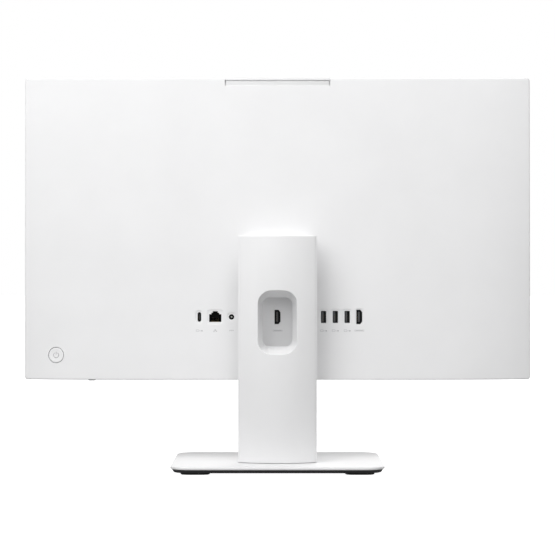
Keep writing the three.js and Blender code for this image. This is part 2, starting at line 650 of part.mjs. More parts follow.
function buildChassis() {
  const half = DISPLAY_WIDTH / 2 - CHASSIS_MARGIN;
  const height = [CHASSIS_MARGIN, DISPLAY_HEIGHT - CHASSIS_MARGIN];
  const sheet = block([-half, half], [CHASSIS_FRONT, CHASSIS_REAR], height);
  const into = [CHASSIS_REAR - CHASSIS_THICKNESS / 2, BOARD_FRONT - GAP];
  const standoff = (at) => rod("y", STANDOFF_RADIUS, into, at, 12);
  const standoffs = corners(BOARD.x, BOARD.z, STANDOFF_INSET).map(standoff);
  const { radius, bore, boreDepth } = HINGE_POST;
  const postDepth = [into[0], HINGE_PLATE_FRONT - GAP];
  const posts = hingePosts().map((at) => rod("y", radius, postDepth, at));
  const boreSpan = [HINGE_PLATE_FRONT - boreDepth, HINGE_PLATE_FRONT + OVER];
  const bores = hingePosts().map((at) => rod("y", bore, boreSpan, at, 12));
  const cameraBay = block(
    spread(CAMERA.width + 2 * CAMERA_CLEARANCE),
    [CHASSIS_FRONT - OVER, CHASSIS_REAR + OVER],
    [DISPLAY_HEIGHT - CAMERA.height - CAMERA_CLEARANCE, DISPLAY_HEIGHT + OVER],
  );
  add(display, "chassis", cut(join(sheet, ...standoffs, ...posts), cameraBay, ...bores), STEEL);
}

// ---------- Display side of the hinge ----------
function buildDisplayBracket() {
  const height = spread(HINGE_PLATE_HEIGHT, HINGE_Z);
  const depth = [HINGE_PLATE_FRONT, HINGE_PLATE_REAR];
  const plate = block(spread(HINGE_PLATE_WIDTH), depth, height);
  const ears = earPairs(EAR_SPREAD, HINGE_Y, HINGE_Z, HINGE_PLATE_REAR - OVER);
  const outer = EAR_SPREAD + EAR_THICKNESS + OVER;
  const bore = rod("x", SHAFT_RADIUS + SHAFT_CLEARANCE, [-outer, outer], [HINGE_Y, HINGE_Z], HINGE_SIDES);
  const shankHole = [depth[0] - OVER, depth[1] + OVER];
  const holes = hingePosts().map((at) => rod("y", HINGE_POST.bore + GAP, shankHole, at, 12));
  add(display, "hinge_display_bracket", cut(join(plate, ...ears), bore, ...holes), STEEL);

  const names = ["low_left", "low_right", "high_left", "high_right"];
  hingePosts().forEach((at, i) => {
    const { radius, height, reach } = HINGE_SCREW;
    const head = rod("y", radius, [HINGE_PLATE_REAR + GAP, HINGE_PLATE_REAR + height], at);
    const shankSpan = [HINGE_PLATE_FRONT - reach, HINGE_PLATE_REAR + OVER];
    const shank = rod("y", HINGE_POST.bore - GAP, shankSpan, at, 12);
    add(display, `hinge_screw_${names[i]}`, join(head, shank), STEEL);
  });
}

// A square collar in the back cover that hides the knuckles between the display and the column.
function buildCollar() {
  const { width, height, wall, proud } = COLLAR;
  const depth = [HINGE_PLATE_FRONT, rearDepth(0, HINGE_Z) + proud];
  const hollow = block(
    spread(width - 2 * wall),
    [depth[0] - OVER, depth[1] + OVER],
    spread(height - 2 * wall, HINGE_Z),
  );
  const sleeve = block(spread(width), depth, spread(height, HINGE_Z));
  add(display, "hinge_collar", cut(sleeve, hollow), WHITE);
}

// ---------- Ports ----------
// A D-shaped socket on its end: one long side is shorter, with two slanted corners.
function slantedSocket(width, height, slant, grow = 0) {
  return (x, z) => {
    const [w, h] = [width / 2 + grow, height / 2 + grow];
    const cutW = slant * 0.75;
    return polygon([
      [x + w, z - h],
      [x + w, z + h],
      [x - w + cutW, z + h],
      [x - w, z + h - slant],
      [x - w, z - h + slant],
      [x - w + cutW, z - h],
    ]);
  };
}

// A modular-jack mouth: a wide body with a stepped keyway for the latch above it.
function networkMouth(x, z) {
  const [half, low, high, step] = [6.2, -5.1, 2.7, 1.6];
  return polygon([
    [x - half, z + low],
    [x + half, z + low],
    [x + half, z + high],
    [x + 3.9, z + high],
    [x + 3.9, z + high + step],
    [x + 2.4, z + high + step],
    [x + 2.4, z + high + 2 * step],
    [x - 2.4, z + high + 2 * step],
    [x - 2.4, z + high + step],
    [x - 3.9, z + high + step],
    [x - 3.9, z + high],
    [x - half, z + high],
  ]);
}

function rounded(width, height, radius, grow = 0) {
  return (x, z) => roundedRectangle(width + 2 * grow, height + 2 * grow, radius + grow, x, z);
}

// Each kind of socket: its mouth, the blade or pin inside it and how deep the mouth is.
const SOCKETS = {
  usbA: {
    mouth: rounded(5.12, 12.3, 0.4),
    recess: rounded(5.12, 12.3, 0.4, RECESS_MARGIN),
    shell: [6.8, 14],
    core: { width: 1.9, height: 10.8, offset: 0.9 },
    depth: 9,
  },
  usbC: {
    mouth: rounded(3.4, 9.6, 1.65),
    recess: rounded(3.4, 9.6, 1.65, RECESS_MARGIN),
    shell: [5, 11.4],
    core: { width: 0.9, height: 6.6, offset: 0 },
    depth: 7,
  },
  hdmi: {
    mouth: slantedSocket(6, 15, 2.6),
    recess: rounded(6, 15, 1.2, 1.4),
    shell: [7.6, 16.6],
    core: { width: 1.8, height: 10.6, offset: 0.4 },
    depth: 9,
  },
  network: {
    mouth: networkMouth,
    recess: rounded(12.4, 11, 1, RECESS_MARGIN),
    shell: [15, 14.6],
    depth: 11,
  },
  power: {
    mouth: rounded(5.3, 5.3, 2.64),
    recess: rounded(5.3, 5.3, 2.64, RECESS_MARGIN),
    shell: [8.6, 8.6],
    core: { width: 1.5, height: 1.5, offset: 0 },
    depth: 9,
  },
};

// Along the row, with x seen from the front.
const PORTS = [
  { name: "usb_c_port", x: 83.1, ...SOCKETS.usbC },
  { name: "network_port", x: 66.2, ...SOCKETS.network },
  { name: "power_inlet", x: 48.9, ...SOCKETS.power },
  { name: "video_port_middle", x: 0, ...SOCKETS.hdmi },
  { name: "usb_a_port_1", x: -49, ...SOCKETS.usbA },
  { name: "usb_a_port_2", x: -61.5, ...SOCKETS.usbA },
  { name: "usb_a_port_3", x: -74.1, ...SOCKETS.usbA },
  { name: "video_port_side", x: -87, ...SOCKETS.hdmi },
].map((port) => ({ ...port, window: port.mouth }));

function buildPorts() {
  for (const { name, x, mouth, shell, core, depth } of PORTS) {
    const [width, height] = shell;
    const face = innerDepth(x, PORT_ROW + height / 2) - PORT_BEHIND_WALL;
    const housing = block(spread(width, x), [BOARD_REAR + GAP, face], spread(height, PORT_ROW));
    let socket = cut(housing, prism(mouth(x, PORT_ROW), "y", [face - depth, face + OVER]));
    if (core) {
      const across = spread(core.width, x + core.offset);
      const blade = block(across, [face - depth - OVER, face - 1.2], spread(core.height, PORT_ROW));
      socket = join(socket, blade);
    }
    add(display, name, socket, BLACK);
  }
}

function buildAudioJack() {
  const { hole, bore, collar, width, depth } = JACK;
  const place = [JACK_X, JACK_Y];
  const housing = block(spread(width, JACK_X), spread(depth, JACK_Y), [COVER_WALL + GAP, JACK_TOP]);
  const barrel = rod("z", hole - GAP, [-collar, COVER_WALL + OVER], place);
  const plugBore = rod("z", bore, [-collar - OVER, JACK_TOP - 2], place, 12);
  add(display, "headset_jack", cut(join(housing, barrel), plugBore), BLACK);
}

// ---------- Computer boards ----------
const ON_BOARD = BOARD_REAR + GAP;

// A flat piece above the board, lifted by a socket.
function card({ x, z, thickness }, lift = 0) {
  return block(x, [ON_BOARD + lift, ON_BOARD + lift + thickness], z);
}

function buildMotherboard() {
  add(display, "motherboard", block(BOARD.x, [BOARD_FRONT, BOARD_REAR], BOARD.z), CIRCUIT);
  add(display, "processor", card(PROCESSOR), SILICON);
  add(display, "memory_card_lower", card(MEMORY_CARD, MEMORY_CARD.lower), CIRCUIT);
  add(display, "memory_card_upper", card(MEMORY_CARD, MEMORY_CARD.upper), CIRCUIT);
  add(display, "solid_state_drive", card(DRIVE, CARD_LIFT), SILICON);
  add(display, "wireless_card", card(WIRELESS_CARD, CARD_LIFT), SILICON);
  const { radius, thickness, fromSide, fromTop } = CLOCK_BATTERY;
  const place = [BOARD.x[1] - fromSide, BOARD.z[1] - fromTop];
  add(display, "clock_battery", rod("y", radius, [ON_BOARD, ON_BOARD + thickness], place), STEEL);
}

// ---------- Cooling ----------
const SPREADER = { beside: 4, above: 7, thickness: 2.5 }; // how far it stands past the processor
const SPREADER_X = [PROCESSOR.x[0] - SPREADER.beside, PROCESSOR.x[1] + SPREADER.beside];
const SPREADER_Z = [PROCESSOR.z[0] - SPREADER.above, PROCESSOR.z[1] + SPREADER.above];
const SPREADER_FRONT = ON_BOARD + PROCESSOR.thickness + GAP;
const PIPE_RADIUS = 2.6;
const PIPE_BEND = 14;
const FINS = { x: [-160, -80], fromTop: [56, 38], base: 0.8, thickness: 0.8, count: 16 };
const BLOWER = { x: -120, fromTop: 110, radius: 42, wall: 1, inlet: 25 };
const ROTOR = { radius: 35, hub: 14, blades: 11, blade: 1.4, clearance: 1, boss: 7, bore: 7.6 };
const FINS_LOW = DISPLAY_HEIGHT - FINS.fromTop[0];
const FINS_HIGH = DISPLAY_HEIGHT - FINS.fromTop[1];
const BLOWER_Z = DISPLAY_HEIGHT - BLOWER.fromTop;
const COOLING_FRONT = CHASSIS_REAR + 0.5;
const FINS_DEPTH = [COOLING_FRONT, innerDepth(FINS.x[0], FINS_HIGH) - 1];
const BLOWER_DEPTH = [COOLING_FRONT, innerDepth(BLOWER.x - BLOWER.radius, FINS_LOW) - 0.4];
const GROOVE = 2 * (PIPE_RADIUS + 0.5);
const PIPE_AT_FINS = {
  y: COOLING_FRONT + FINS.base + 1 + PIPE_RADIUS,
  z: (FINS_LOW + FINS_HIGH) / 2,
};

function buildHeatPath() {
  const rear = SPREADER_FRONT + SPREADER.thickness;
  const plate = block(SPREADER_X, [SPREADER_FRONT, rear], SPREADER_Z);
  add(display, "heat_spreader", plate, COPPER);

  // The pipe leaves the spreader sideways, climbs outside the blower and ends in the fins.
  const start = rear + GAP + PIPE_RADIUS;
  const { y, z } = PIPE_AT_FINS;
  const beside = BLOWER.x - BLOWER.radius - PIPE_BEND;
  const middle = (SPREADER_Z[0] + SPREADER_Z[1]) / 2;
  const route = new THREE.CatmullRomCurve3([
    new THREE.Vector3(SPREADER_X[1] - 4, start, middle),
    new THREE.Vector3(SPREADER_X[0], start, middle),
    new THREE.Vector3(beside + 0.3 * PIPE_BEND, start - 0.3, middle + 0.3 * PIPE_BEND),
    new THREE.Vector3(beside, start - 1, middle + PIPE_BEND),
    new THREE.Vector3(beside, y + 1, z - 5 * PIPE_BEND),
    new THREE.Vector3(beside, y, z - PIPE_BEND),
    new THREE.Vector3(beside + 0.3 * PIPE_BEND, y, z - 0.3 * PIPE_BEND),
    new THREE.Vector3(FINS.x[0] - 3, y, z),
    new THREE.Vector3(FINS.x[0] + 3, y, z),
    new THREE.Vector3(FINS.x[1] - 4, y, z),
  ]);
  const section = new THREE.Shape();
  section.absarc(0, 0, PIPE_RADIUS, 0, 2 * Math.PI);
  const options = { steps: 40, extrudePath: route, curveSegments: 4 };
  add(display, "heat_pipe", new THREE.ExtrudeGeometry(section, options), COPPER);
}

function buildFins() {
  const [x0, x1] = FINS.x;
  const [front, rear] = FINS_DEPTH;
  const pitch = (x1 - x0 - FINS.thickness) / (FINS.count - 1);
  const height = [FINS_LOW, FINS_HIGH];
  const base = block(FINS.x, [front, front + FINS.base], height);
  const fins = Array.from({ length: FINS.count }, (_, i) => {
    const x = x0 + i * pitch;
    return block([x, x + FINS.thickness], [front, rear], height);
  });
  const { y, z } = PIPE_AT_FINS;
  const groove = block([x0 - OVER, x1 + OVER], [y - GROOVE / 2, rear + OVER], spread(GROOVE, z));
  add(display, "fin_stack", cut(join(base, ...fins), groove), ALUMINIUM);
}

// A round scroll that opens upwards into the fins.
function scroll(inset, top) {
  const half = BLOWER.radius - inset;
  const shape = new THREE.Shape();
  shape.absarc(BLOWER.x, BLOWER_Z, half, Math.PI, 2 * Math.PI);
  shape.lineTo(BLOWER.x + half, top);
  shape.lineTo(BLOWER.x - half, top);
  return shape;
}

function buildBlower() {
  const { x, wall, inlet } = BLOWER;
  const y = BLOWER_DEPTH;
  const exhaust = FINS_LOW - GAP;
  const inside = prism(scroll(wall, exhaust + OVER), "y", [y[0] + wall, y[1] - wall]);
  const opening = rod("y", inlet, [y[1] - 2 * wall, y[1] + OVER], [x, BLOWER_Z], 32);
  const depth = [y[0] + wall + ROTOR.clearance, y[1] - wall - ROTOR.clearance];
  const hubFloor = depth[1] - 1.5;
  const boss = rod("y", ROTOR.boss, [y[0] + wall / 2, hubFloor - ROTOR.clearance], [x, BLOWER_Z]);
  const housing = cut(prism(scroll(0, exhaust), "y", y), inside, opening);
  add(display, "blower_housing", join(housing, boss), BLACK);

  const rotor = new THREE.Group();
  rotor.position.set(x, 0, BLOWER_Z);
  const hub = rod("y", ROTOR.hub, depth, [0, 0], 24);
  const blades = Array.from({ length: ROTOR.blades }, (_, i) => {
    const blade = block([ROTOR.hub - 2, ROTOR.radius], depth, spread(ROTOR.blade));
    return blade.rotateY((2 * Math.PI * i) / ROTOR.blades);
  });
  const bore = rod("y", ROTOR.bore, [depth[0] - OVER, hubFloor], [0, 0], 24);
  add(rotor, "fan_rotor", cut(join(hub, ...blades), bore), BLACK);
  display.add(rotor);
}

// ---------- Speakers and aerials ----------
const SPEAKER = { fromSide: 50, width: 86, portFromSide: 110, portRadius: 6, low: 4.2, high: 19.5 };
const SPEAKER_DEPTH = [CHASSIS_REAR + 1, JACK_Y - JACK.depth / 2 - 3];
const AERIAL = { fromSide: 40, fromTop: 12, width: 40, height: 8, thickness: 0.9 };

function buildSpeakers() {
  const { fromSide, width, portFromSide, portRadius, low, high } = SPEAKER;
  const port = (low + high) / 2;
  for (const [side, sign] of [["left", -1], ["right", 1]]) {
    const middle = sign * (DISPLAY_WIDTH / 2 - fromSide - width / 2);
    const box = block(spread(width, middle), SPEAKER_DEPTH, [low, high]);
    const portX = sign * (DISPLAY_WIDTH / 2 - portFromSide);
    const portY = (SPEAKER_DEPTH[0] + SPEAKER_DEPTH[1]) / 2;
    const cone = rod("z", portRadius / 2, [low - OVER, port], [portX, portY]);
    add(display, `speaker_${side}`, cut(box, cone), BLACK);
  }
}

function buildAerials() {
  const { fromSide, fromTop, width, height, thickness } = AERIAL;
  const depth = [CHASSIS_REAR + GAP, CHASSIS_REAR + GAP + thickness];
  const up = [DISPLAY_HEIGHT - fromTop - height, DISPLAY_HEIGHT - fromTop];
  for (const [side, sign] of [["left", -1], ["right", 1]]) {
    const middle = sign * (DISPLAY_WIDTH / 2 - fromSide - width / 2);
    add(display, `aerial_${side}`, block(spread(width, middle), depth, up), COPPER);
  }
}

// ---------- Pop-up camera ----------
// Its head fills a notch in the top of the cover, and its body stands behind the panel.
const CAMERA_FRONT = COVER_FRONT + CAMERA_CLEARANCE;
const CAMERA_TOP = DISPLAY_HEIGHT;
const CAMERA_BODY_DEPTH = TOP_DEPTH - COVER_WALL - CAMERA_CLEARANCE - CAMERA_FRONT;

function buildCamera() {
  const { width, height, headHeight } = CAMERA;
  const { lip, groove, grooveDepth, bandDepth, endInset } = CAMERA_GRIP;
  const camera = new THREE.Group();
  camera.position.set(0, CAMERA_FRONT, CAMERA_TOP);
  const headDepth = TOP_DEPTH - CAMERA_FRONT;
  const body = block(spread(width), [0, CAMERA_BODY_DEPTH], [-height, -headHeight / 2]);
  const head = block(spread(width), [0, headDepth], [-headHeight, 0]);
  const across = spread(width + 2 * OVER);
  const behind = headDepth + OVER;
  const grooveTool = block(across, [headDepth - grooveDepth, behind], [-lip - groove, -lip]);
  const band = [
    [headDepth, -lip - groove],
    [headDepth - bandDepth, -headHeight],
    [headDepth - bandDepth, -headHeight - OVER],
    [behind, -headHeight - OVER],
    [behind, -lip - groove],
  ];
  const bandTool = prism(polygon(band), "x", across);
  const endTools = [-1, 1].map((side) =>
    block(
      spread(2 * endInset, (side * width) / 2),
      [CAMERA_BODY_DEPTH, behind],
      [-headHeight - OVER, -lip],
    ),
  );
  const windowX = spread(width - 2 * CAMERA_WINDOW.border);
  const windowZ = [-lip - CAMERA_WINDOW.height, -lip];
  const pocket = block(
    [windowX[0] - GAP, windowX[1] + GAP],
    [-OVER, CAMERA_POCKET_DEPTH],
    [windowZ[0] - GAP, windowZ[1] + GAP],
  );
  const cuts = [grooveTool, bandTool, ...endTools, pocket];
  add(camera, "camera_housing", cut(join(body, head), ...cuts), WHITE);
  const { setback, thickness } = CAMERA_WINDOW;
  add(camera, "camera_window", block(windowX, [setback, setback + thickness], windowZ), SCREEN);
  const { margin } = CAMERA_BOARD;
  const boardZ = [windowZ[0] + margin, windowZ[1] - margin];
  add(camera, "camera_board", block(spread(CAMERA_BOARD.width), CAMERA_BOARD.depth, boardZ), CIRCUIT);
  const lensPlace = [0, (windowZ[0] + windowZ[1]) / 2];
  add(camera, "camera_lens", rod("y", CAMERA_LENS.radius, CAMERA_LENS.depth, lensPlace, 24), SCREEN);
  display.add(camera);
}

// A rail on each side of the camera, joined under it by a bar that it stands on when it is down.
function buildCameraGuide() {
  const inner = CAMERA.width / 2 + CAMERA_CLEARANCE;
  const outer = inner + CAMERA_RAIL.width;
  const depth = [CHASSIS_REAR + GAP, CAMERA_FRONT + CAMERA_BODY_DEPTH];
  const floor = CAMERA_TOP - CAMERA.height - CAMERA_CLEARANCE;
  const top = floor + CAMERA_RAIL.reach;
  const around = block(spread(2 * outer), depth, [floor - CAMERA_RAIL.width, top]);
  const between = block(spread(2 * inner), [depth[0] - OVER, depth[1] + OVER], [floor, top + OVER]);
  add(display, "camera_guide", cut(around, between), BLACK);
}

// ---------- Power button ----------
function buildPowerButton() {
  const button = new THREE.Group();
  button.applyMatrix4(rearFrame(BUTTON_X, BUTTON.fromBottom));
  const { radius, thickness, travel } = BUTTON;
  const stemEnd = -thickness - BUTTON_STEM.length;
  const cap = rod("y", radius, [-thickness, 0], [0, 0], 28);
  const stem = rod("y", BUTTON_STEM.radius, [stemEnd, -thickness + OVER], [0, 0], 12);
  add(button, "power_button", join(cap, stem), WHITE);
  const { key, keyHeight, board, boardThickness } = SWITCH;
  const keyDepth = [stemEnd - travel - GAP - keyHeight, stemEnd - travel - GAP];
  const boardDepth = [keyDepth[0] - boardThickness, keyDepth[0] + GAP];
  const switchKey = block(spread(key), keyDepth, spread(key));
  const switchBoard = block(spread(board[0]), boardDepth, spread(board[1]));
  add(button, "power_switch_board", join(switchKey, switchBoard), CIRCUIT);
  display.add(button);
}

buildBase();
buildThumbscrew();
buildColumn();
buildSpine();
buildColumnBracket();
buildShaft();
buildRearCover();
buildFrame();
buildScreen();
buildChassis();
buildDisplayBracket();
buildCollar();
buildPorts();
buildAudioJack();
buildMotherboard();
buildHeatPath();
buildFins();
buildBlower();
buildSpeakers();
buildAerials();
buildCamera();
buildCameraGuide();
buildPowerButton();

export default computer;
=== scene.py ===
"""Looks of the all-in-one computer: fine surfaces over its machined pieces, and the finish of every piece."""

import math
from contextlib import contextmanager

import bmesh
import bpy
from mathutils import Matrix, Vector


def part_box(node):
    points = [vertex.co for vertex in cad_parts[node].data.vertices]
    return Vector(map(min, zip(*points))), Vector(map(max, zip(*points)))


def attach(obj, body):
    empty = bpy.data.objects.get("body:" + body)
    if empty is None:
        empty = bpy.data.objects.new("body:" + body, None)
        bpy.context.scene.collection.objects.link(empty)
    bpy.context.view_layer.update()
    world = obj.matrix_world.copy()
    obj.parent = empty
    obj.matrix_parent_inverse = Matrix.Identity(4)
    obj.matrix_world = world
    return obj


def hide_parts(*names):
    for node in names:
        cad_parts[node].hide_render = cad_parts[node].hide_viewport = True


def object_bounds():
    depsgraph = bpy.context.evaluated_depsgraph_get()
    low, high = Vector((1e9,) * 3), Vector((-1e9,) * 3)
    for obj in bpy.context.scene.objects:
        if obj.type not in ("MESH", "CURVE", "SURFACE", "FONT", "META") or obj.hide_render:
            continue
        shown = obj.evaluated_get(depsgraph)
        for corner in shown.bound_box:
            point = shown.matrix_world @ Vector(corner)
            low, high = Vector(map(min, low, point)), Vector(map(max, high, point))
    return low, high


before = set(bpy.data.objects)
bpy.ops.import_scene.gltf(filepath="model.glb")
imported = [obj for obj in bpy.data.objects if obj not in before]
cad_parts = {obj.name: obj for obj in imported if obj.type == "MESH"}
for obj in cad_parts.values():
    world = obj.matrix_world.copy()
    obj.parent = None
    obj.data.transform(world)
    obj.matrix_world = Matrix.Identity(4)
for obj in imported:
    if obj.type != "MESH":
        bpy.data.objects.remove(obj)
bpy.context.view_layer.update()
mm = 0.001

# ---------- Sizes that the casings share ----------
GAP = 0.3 * mm
COVER_LOW, COVER_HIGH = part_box("rear_cover")
FRAME_LOW, FRAME_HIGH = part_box("front_frame")
HALF_WIDTH = COVER_HIGH.x
DISPLAY_LOW = COVER_LOW.z
DISPLAY_TOP = COVER_HIGH.z
DISPLAY_HEIGHT = DISPLAY_TOP - DISPLAY_LOW
DISPLAY_FRONT = FRAME_LOW.y
CORNER = 3 * mm
COVER_WALL = 2.2 * mm
COVER_EDGE = 1.3 * mm  # radius of the rolled edge round the back
EDGE_DEPTH = (22 * mm, 18 * mm)  # behind the front face, at the lower edge and at the top
CROWN = (14 * mm, 2 * mm)
CROWN_POWER = 6.5

COLUMN_LOW, COLUMN_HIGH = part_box("column_rear_cover")
SHELL_LOW, SHELL_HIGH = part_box("column_front_cover")
COLUMN_HALF = COLUMN_HIGH.x
COLUMN_CROWN = 11 * mm
COLUMN_WALL = 2.2 * mm
COLUMN_SEAM = SHELL_HIGH.y
CROWN_RADIUS = (COLUMN_HALF**2 + COLUMN_CROWN**2) / (2 * COLUMN_CROWN)
CROWN_CENTRE = COLUMN_HIGH.y - CROWN_RADIUS

PORT_NODES = (
    "usb_c_port", "network_port", "power_inlet", "video_port_middle",
    "usb_a_port_1", "usb_a_port_2", "usb_a_port_3", "video_port_side",
)


def centre(node):
    low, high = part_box(node)
    return (low + high) / 2


PORT_ROW = centre("usb_a_port_1").z


# ---------- Mesh helpers ----------
def metres(*rows):
    """Rows of numbers in millimetres, turned into metres."""
    return [tuple(value * mm for value in row) for row in rows]


def new_object(name, data):
    made = bpy.data.objects.new(name, data)
    bpy.context.scene.collection.objects.link(made)
    return made


@contextmanager
def editing(mesh):
    """A mesh open for editing, written back at the end."""
    work = bmesh.new()
    work.from_mesh(mesh)
    yield work
    work.to_mesh(mesh)
    work.free()


def tidy_mesh(mesh):
    """Merges doubled points and turns every face outwards."""
    with editing(mesh) as work:
        bmesh.ops.remove_doubles(work, verts=work.verts, dist=1e-6)
        bmesh.ops.dissolve_degenerate(work, edges=work.edges, dist=1e-6)
        bmesh.ops.recalc_face_normals(work, faces=work.faces)


def mesh_object(name, vertices, faces):
    mesh = bpy.data.meshes.new(name)
    mesh.from_pydata([tuple(v) for v in vertices], [], faces)
    tidy_mesh(mesh)
    return new_object(name, mesh)


def ring_faces(rings, count):
    """Faces that join each of several rings of count points to the next."""
    faces = []
    for start in range(0, (rings - 1) * count, count):
        for i in range(count):
            a, b = start + i, start + (i + 1) % count
            faces.append((a, b, b + count, a + count))
    return faces


def loft(name, rings):
    """Joins rings of points, and caps the first and the last."""
    vertices = [p for ring in rings for p in ring]
    count, total = len(rings[0]), len(vertices)
    faces = ring_faces(len(rings), count) + [tuple(range(count)), tuple(range(total - count, total))]
    return mesh_object(name, vertices, faces)


def rounded_outline(width, height, radius, steps=8):
    """Points of a rounded rectangle about the origin, counter-clockwise."""
    radius = min(radius, width / 2 - 1e-6, height / 2 - 1e-6)
    points = []
    for k, (sx, sy) in enumerate(((1, 1), (-1, 1), (-1, -1), (1, -1))):
        for i in range(steps + 1):
            angle = math.pi / 2 * (k + i / steps)
            x = sx * (width / 2 - radius) + radius * math.cos(angle)
            y = sy * (height / 2 - radius) + radius * math.sin(angle)
            points.append((x, y))
    return points


def grown(size, grow, steps=8, at=(0, 0)):
    """A rounded rectangle, its size being (width, height, radius), grown on every side and moved."""
    width, height, radius = size
    points = rounded_outline(width + 2 * grow, height + 2 * grow, radius + grow, steps)
    return [(x + at[0], y + at[1]) for x, y in points]


def grown_polygon(points, amount):
    """Moves each side of a convex or right-angled polygon outwards by amount."""
    moved = []
    for i, point in enumerate(points):
        before, after = Vector(points[i - 1]), Vector(points[(i + 1) % len(points)])
        here = Vector(point)
        first, second = (here - before).normalized(), (after - here).normalized()
        n1, n2 = Vector((first.y, -first.x)), Vector((second.y, -second.x))
        moved.append(tuple(here + (n1 + n2) * (amount / (1 + n1.dot(n2)))))
    return moved


def fillet(radius, steps=5):
    """(inset, drop) pairs of a quarter round, from the side wall to the face."""
    angles = [math.pi / 2 * i / steps for i in range(steps + 1)]
    return [(radius * (1 - math.cos(a)), radius * (1 - math.sin(a))) for a in angles]


def rounded_ends(low, high, low_fillet, high_fillet):
    """(inset, height) pairs from a rounded lower rim to a rounded upper one. A fillet is (radius, steps)."""
    pairs = [(inset, low + drop) for inset, drop in reversed(fillet(*low_fillet))]
    return pairs + [(inset, high - drop) for inset, drop in fillet(*high_fillet)]


def turned(name, profile, sides=48, at=None):
    """A body of revolution about its own Y axis, moved by a matrix. The profile is (radius, y) pairs."""
    angles = [2 * math.pi * i / sides for i in range(sides)]
    made = loft(name, [[(r * math.cos(a), y, r * math.sin(a)) for a in angles] for r, y in profile])
    if at:
        made.data.transform(at)
    return made


def plate(name, outline, levels, axis="y"):
    """A body with one outline per level: levels are (height, grow) pairs and outline(grow) gives points."""
    rings = []
    for height, grow in levels:
        rings.append([(u, height, v) if axis == "y" else (u, v, height) for u, v in outline(grow)])
    return loft(name, rings)


def rounded_block(name, low, high, radius, edge=0.0, axis="y", steps=6):
    """A box with rounded corners across one axis and rounded rims along it."""
    u, v, w = {"y": (0, 2, 1), "z": (0, 1, 2)}[axis]
    size = (high[u] - low[u], high[v] - low[v], radius)
    middle = ((high[u] + low[u]) / 2, (high[v] + low[v]) / 2)
    rim = fillet(edge, 3) if edge else [(0, 0)]
    levels = [(low[w] + drop, -inset) for inset, drop in reversed(rim)]
    levels += [(high[w] - drop, -inset) for inset, drop in rim]
    return plate(name, lambda grow: grown(size, grow, steps, middle), levels, axis)


def apply_modifiers(piece):
    depsgraph = bpy.context.evaluated_depsgraph_get()
    mesh = bpy.data.meshes.new_from_object(piece.evaluated_get(depsgraph))
    piece.modifiers.clear()
    piece.data = mesh


def merged(name, pieces):
    """One object holding the meshes of several, which are removed."""
    mesh = bpy.data.meshes.new(name)
    with editing(mesh) as work:
        for piece in pieces:
            work.from_mesh(piece.data)
    for piece in pieces:
        bpy.data.objects.remove(piece)
    return new_object(name, mesh)


def joined(name, parts):
    """One object from parts that each have their own material: parts are (object, material index) pairs."""
    parts = list(parts)
    for part, index in parts:
        for polygon in part.data.polygons:
            polygon.material_index = index
    return merged(name, [part for part, index in parts])


def combine(body, tools, operation="DIFFERENCE"):
    """Cuts tools out of body, or joins them to it. The tools don't touch each other and are removed."""
    tool = merged("tool", tools) if len(tools) > 1 else tools[0]
    boolean = body.modifiers.new("combine", "BOOLEAN")
    boolean.object = tool
    boolean.operation = operation
    boolean.solver = "EXACT"
    apply_modifiers(body)
    bpy.data.objects.remove(tool)
    tidy_mesh(body.data)
    return body


def bevelled_copy(node, name, width, segments=2):
    """A copy of a machined piece with its edges broken, as a real one has."""
    piece = new_object(name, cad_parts[node].data.copy())
    with editing(piece.data) as work:
        bmesh.ops.remove_doubles(work, verts=work.verts, dist=2e-6)
        bmesh.ops.dissolve_limit(work, angle_limit=math.radians(1), verts=work.verts, edges=work.edges)
    bevel = piece.modifiers.new("edges", "BEVEL")
    bevel.width = width
    bevel.segments = segments
    bevel.limit_method = "ANGLE"
    bevel.angle_limit = math.radians(35)
    apply_modifiers(piece)
    return piece


def dress(piece, body, materials, node="", angle=32):
    """Gives a finished piece its shading, materials and body, and hides the machined part it stands for.

    Edges sharper than angle stay sharp."""
    if angle:
        piece.data.shade_smooth()
        piece.data.set_sharp_from_angle(angle=math.radians(angle))
    indices = [polygon.material_index for polygon in piece.data.polygons]
    piece.data.materials.clear()
    for material in materials:
        piece.data.materials.append(FINISH[material])
    for polygon, index in zip(piece.data.polygons, indices):
        polygon.material_index = index
    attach(piece, body)
    if node:
        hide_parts(node)


def paint_faces(piece, index, test):
    """Gives the faces whose centre passes the test another of the piece's materials."""
    for polygon in piece.data.polygons:
        if test(polygon.center, polygon.normal):
            polygon.material_index = index


# ---------- Node groups: effects that several finishes share ----------
GROUPS = {}
WHITE = (1, 1, 1, 1)


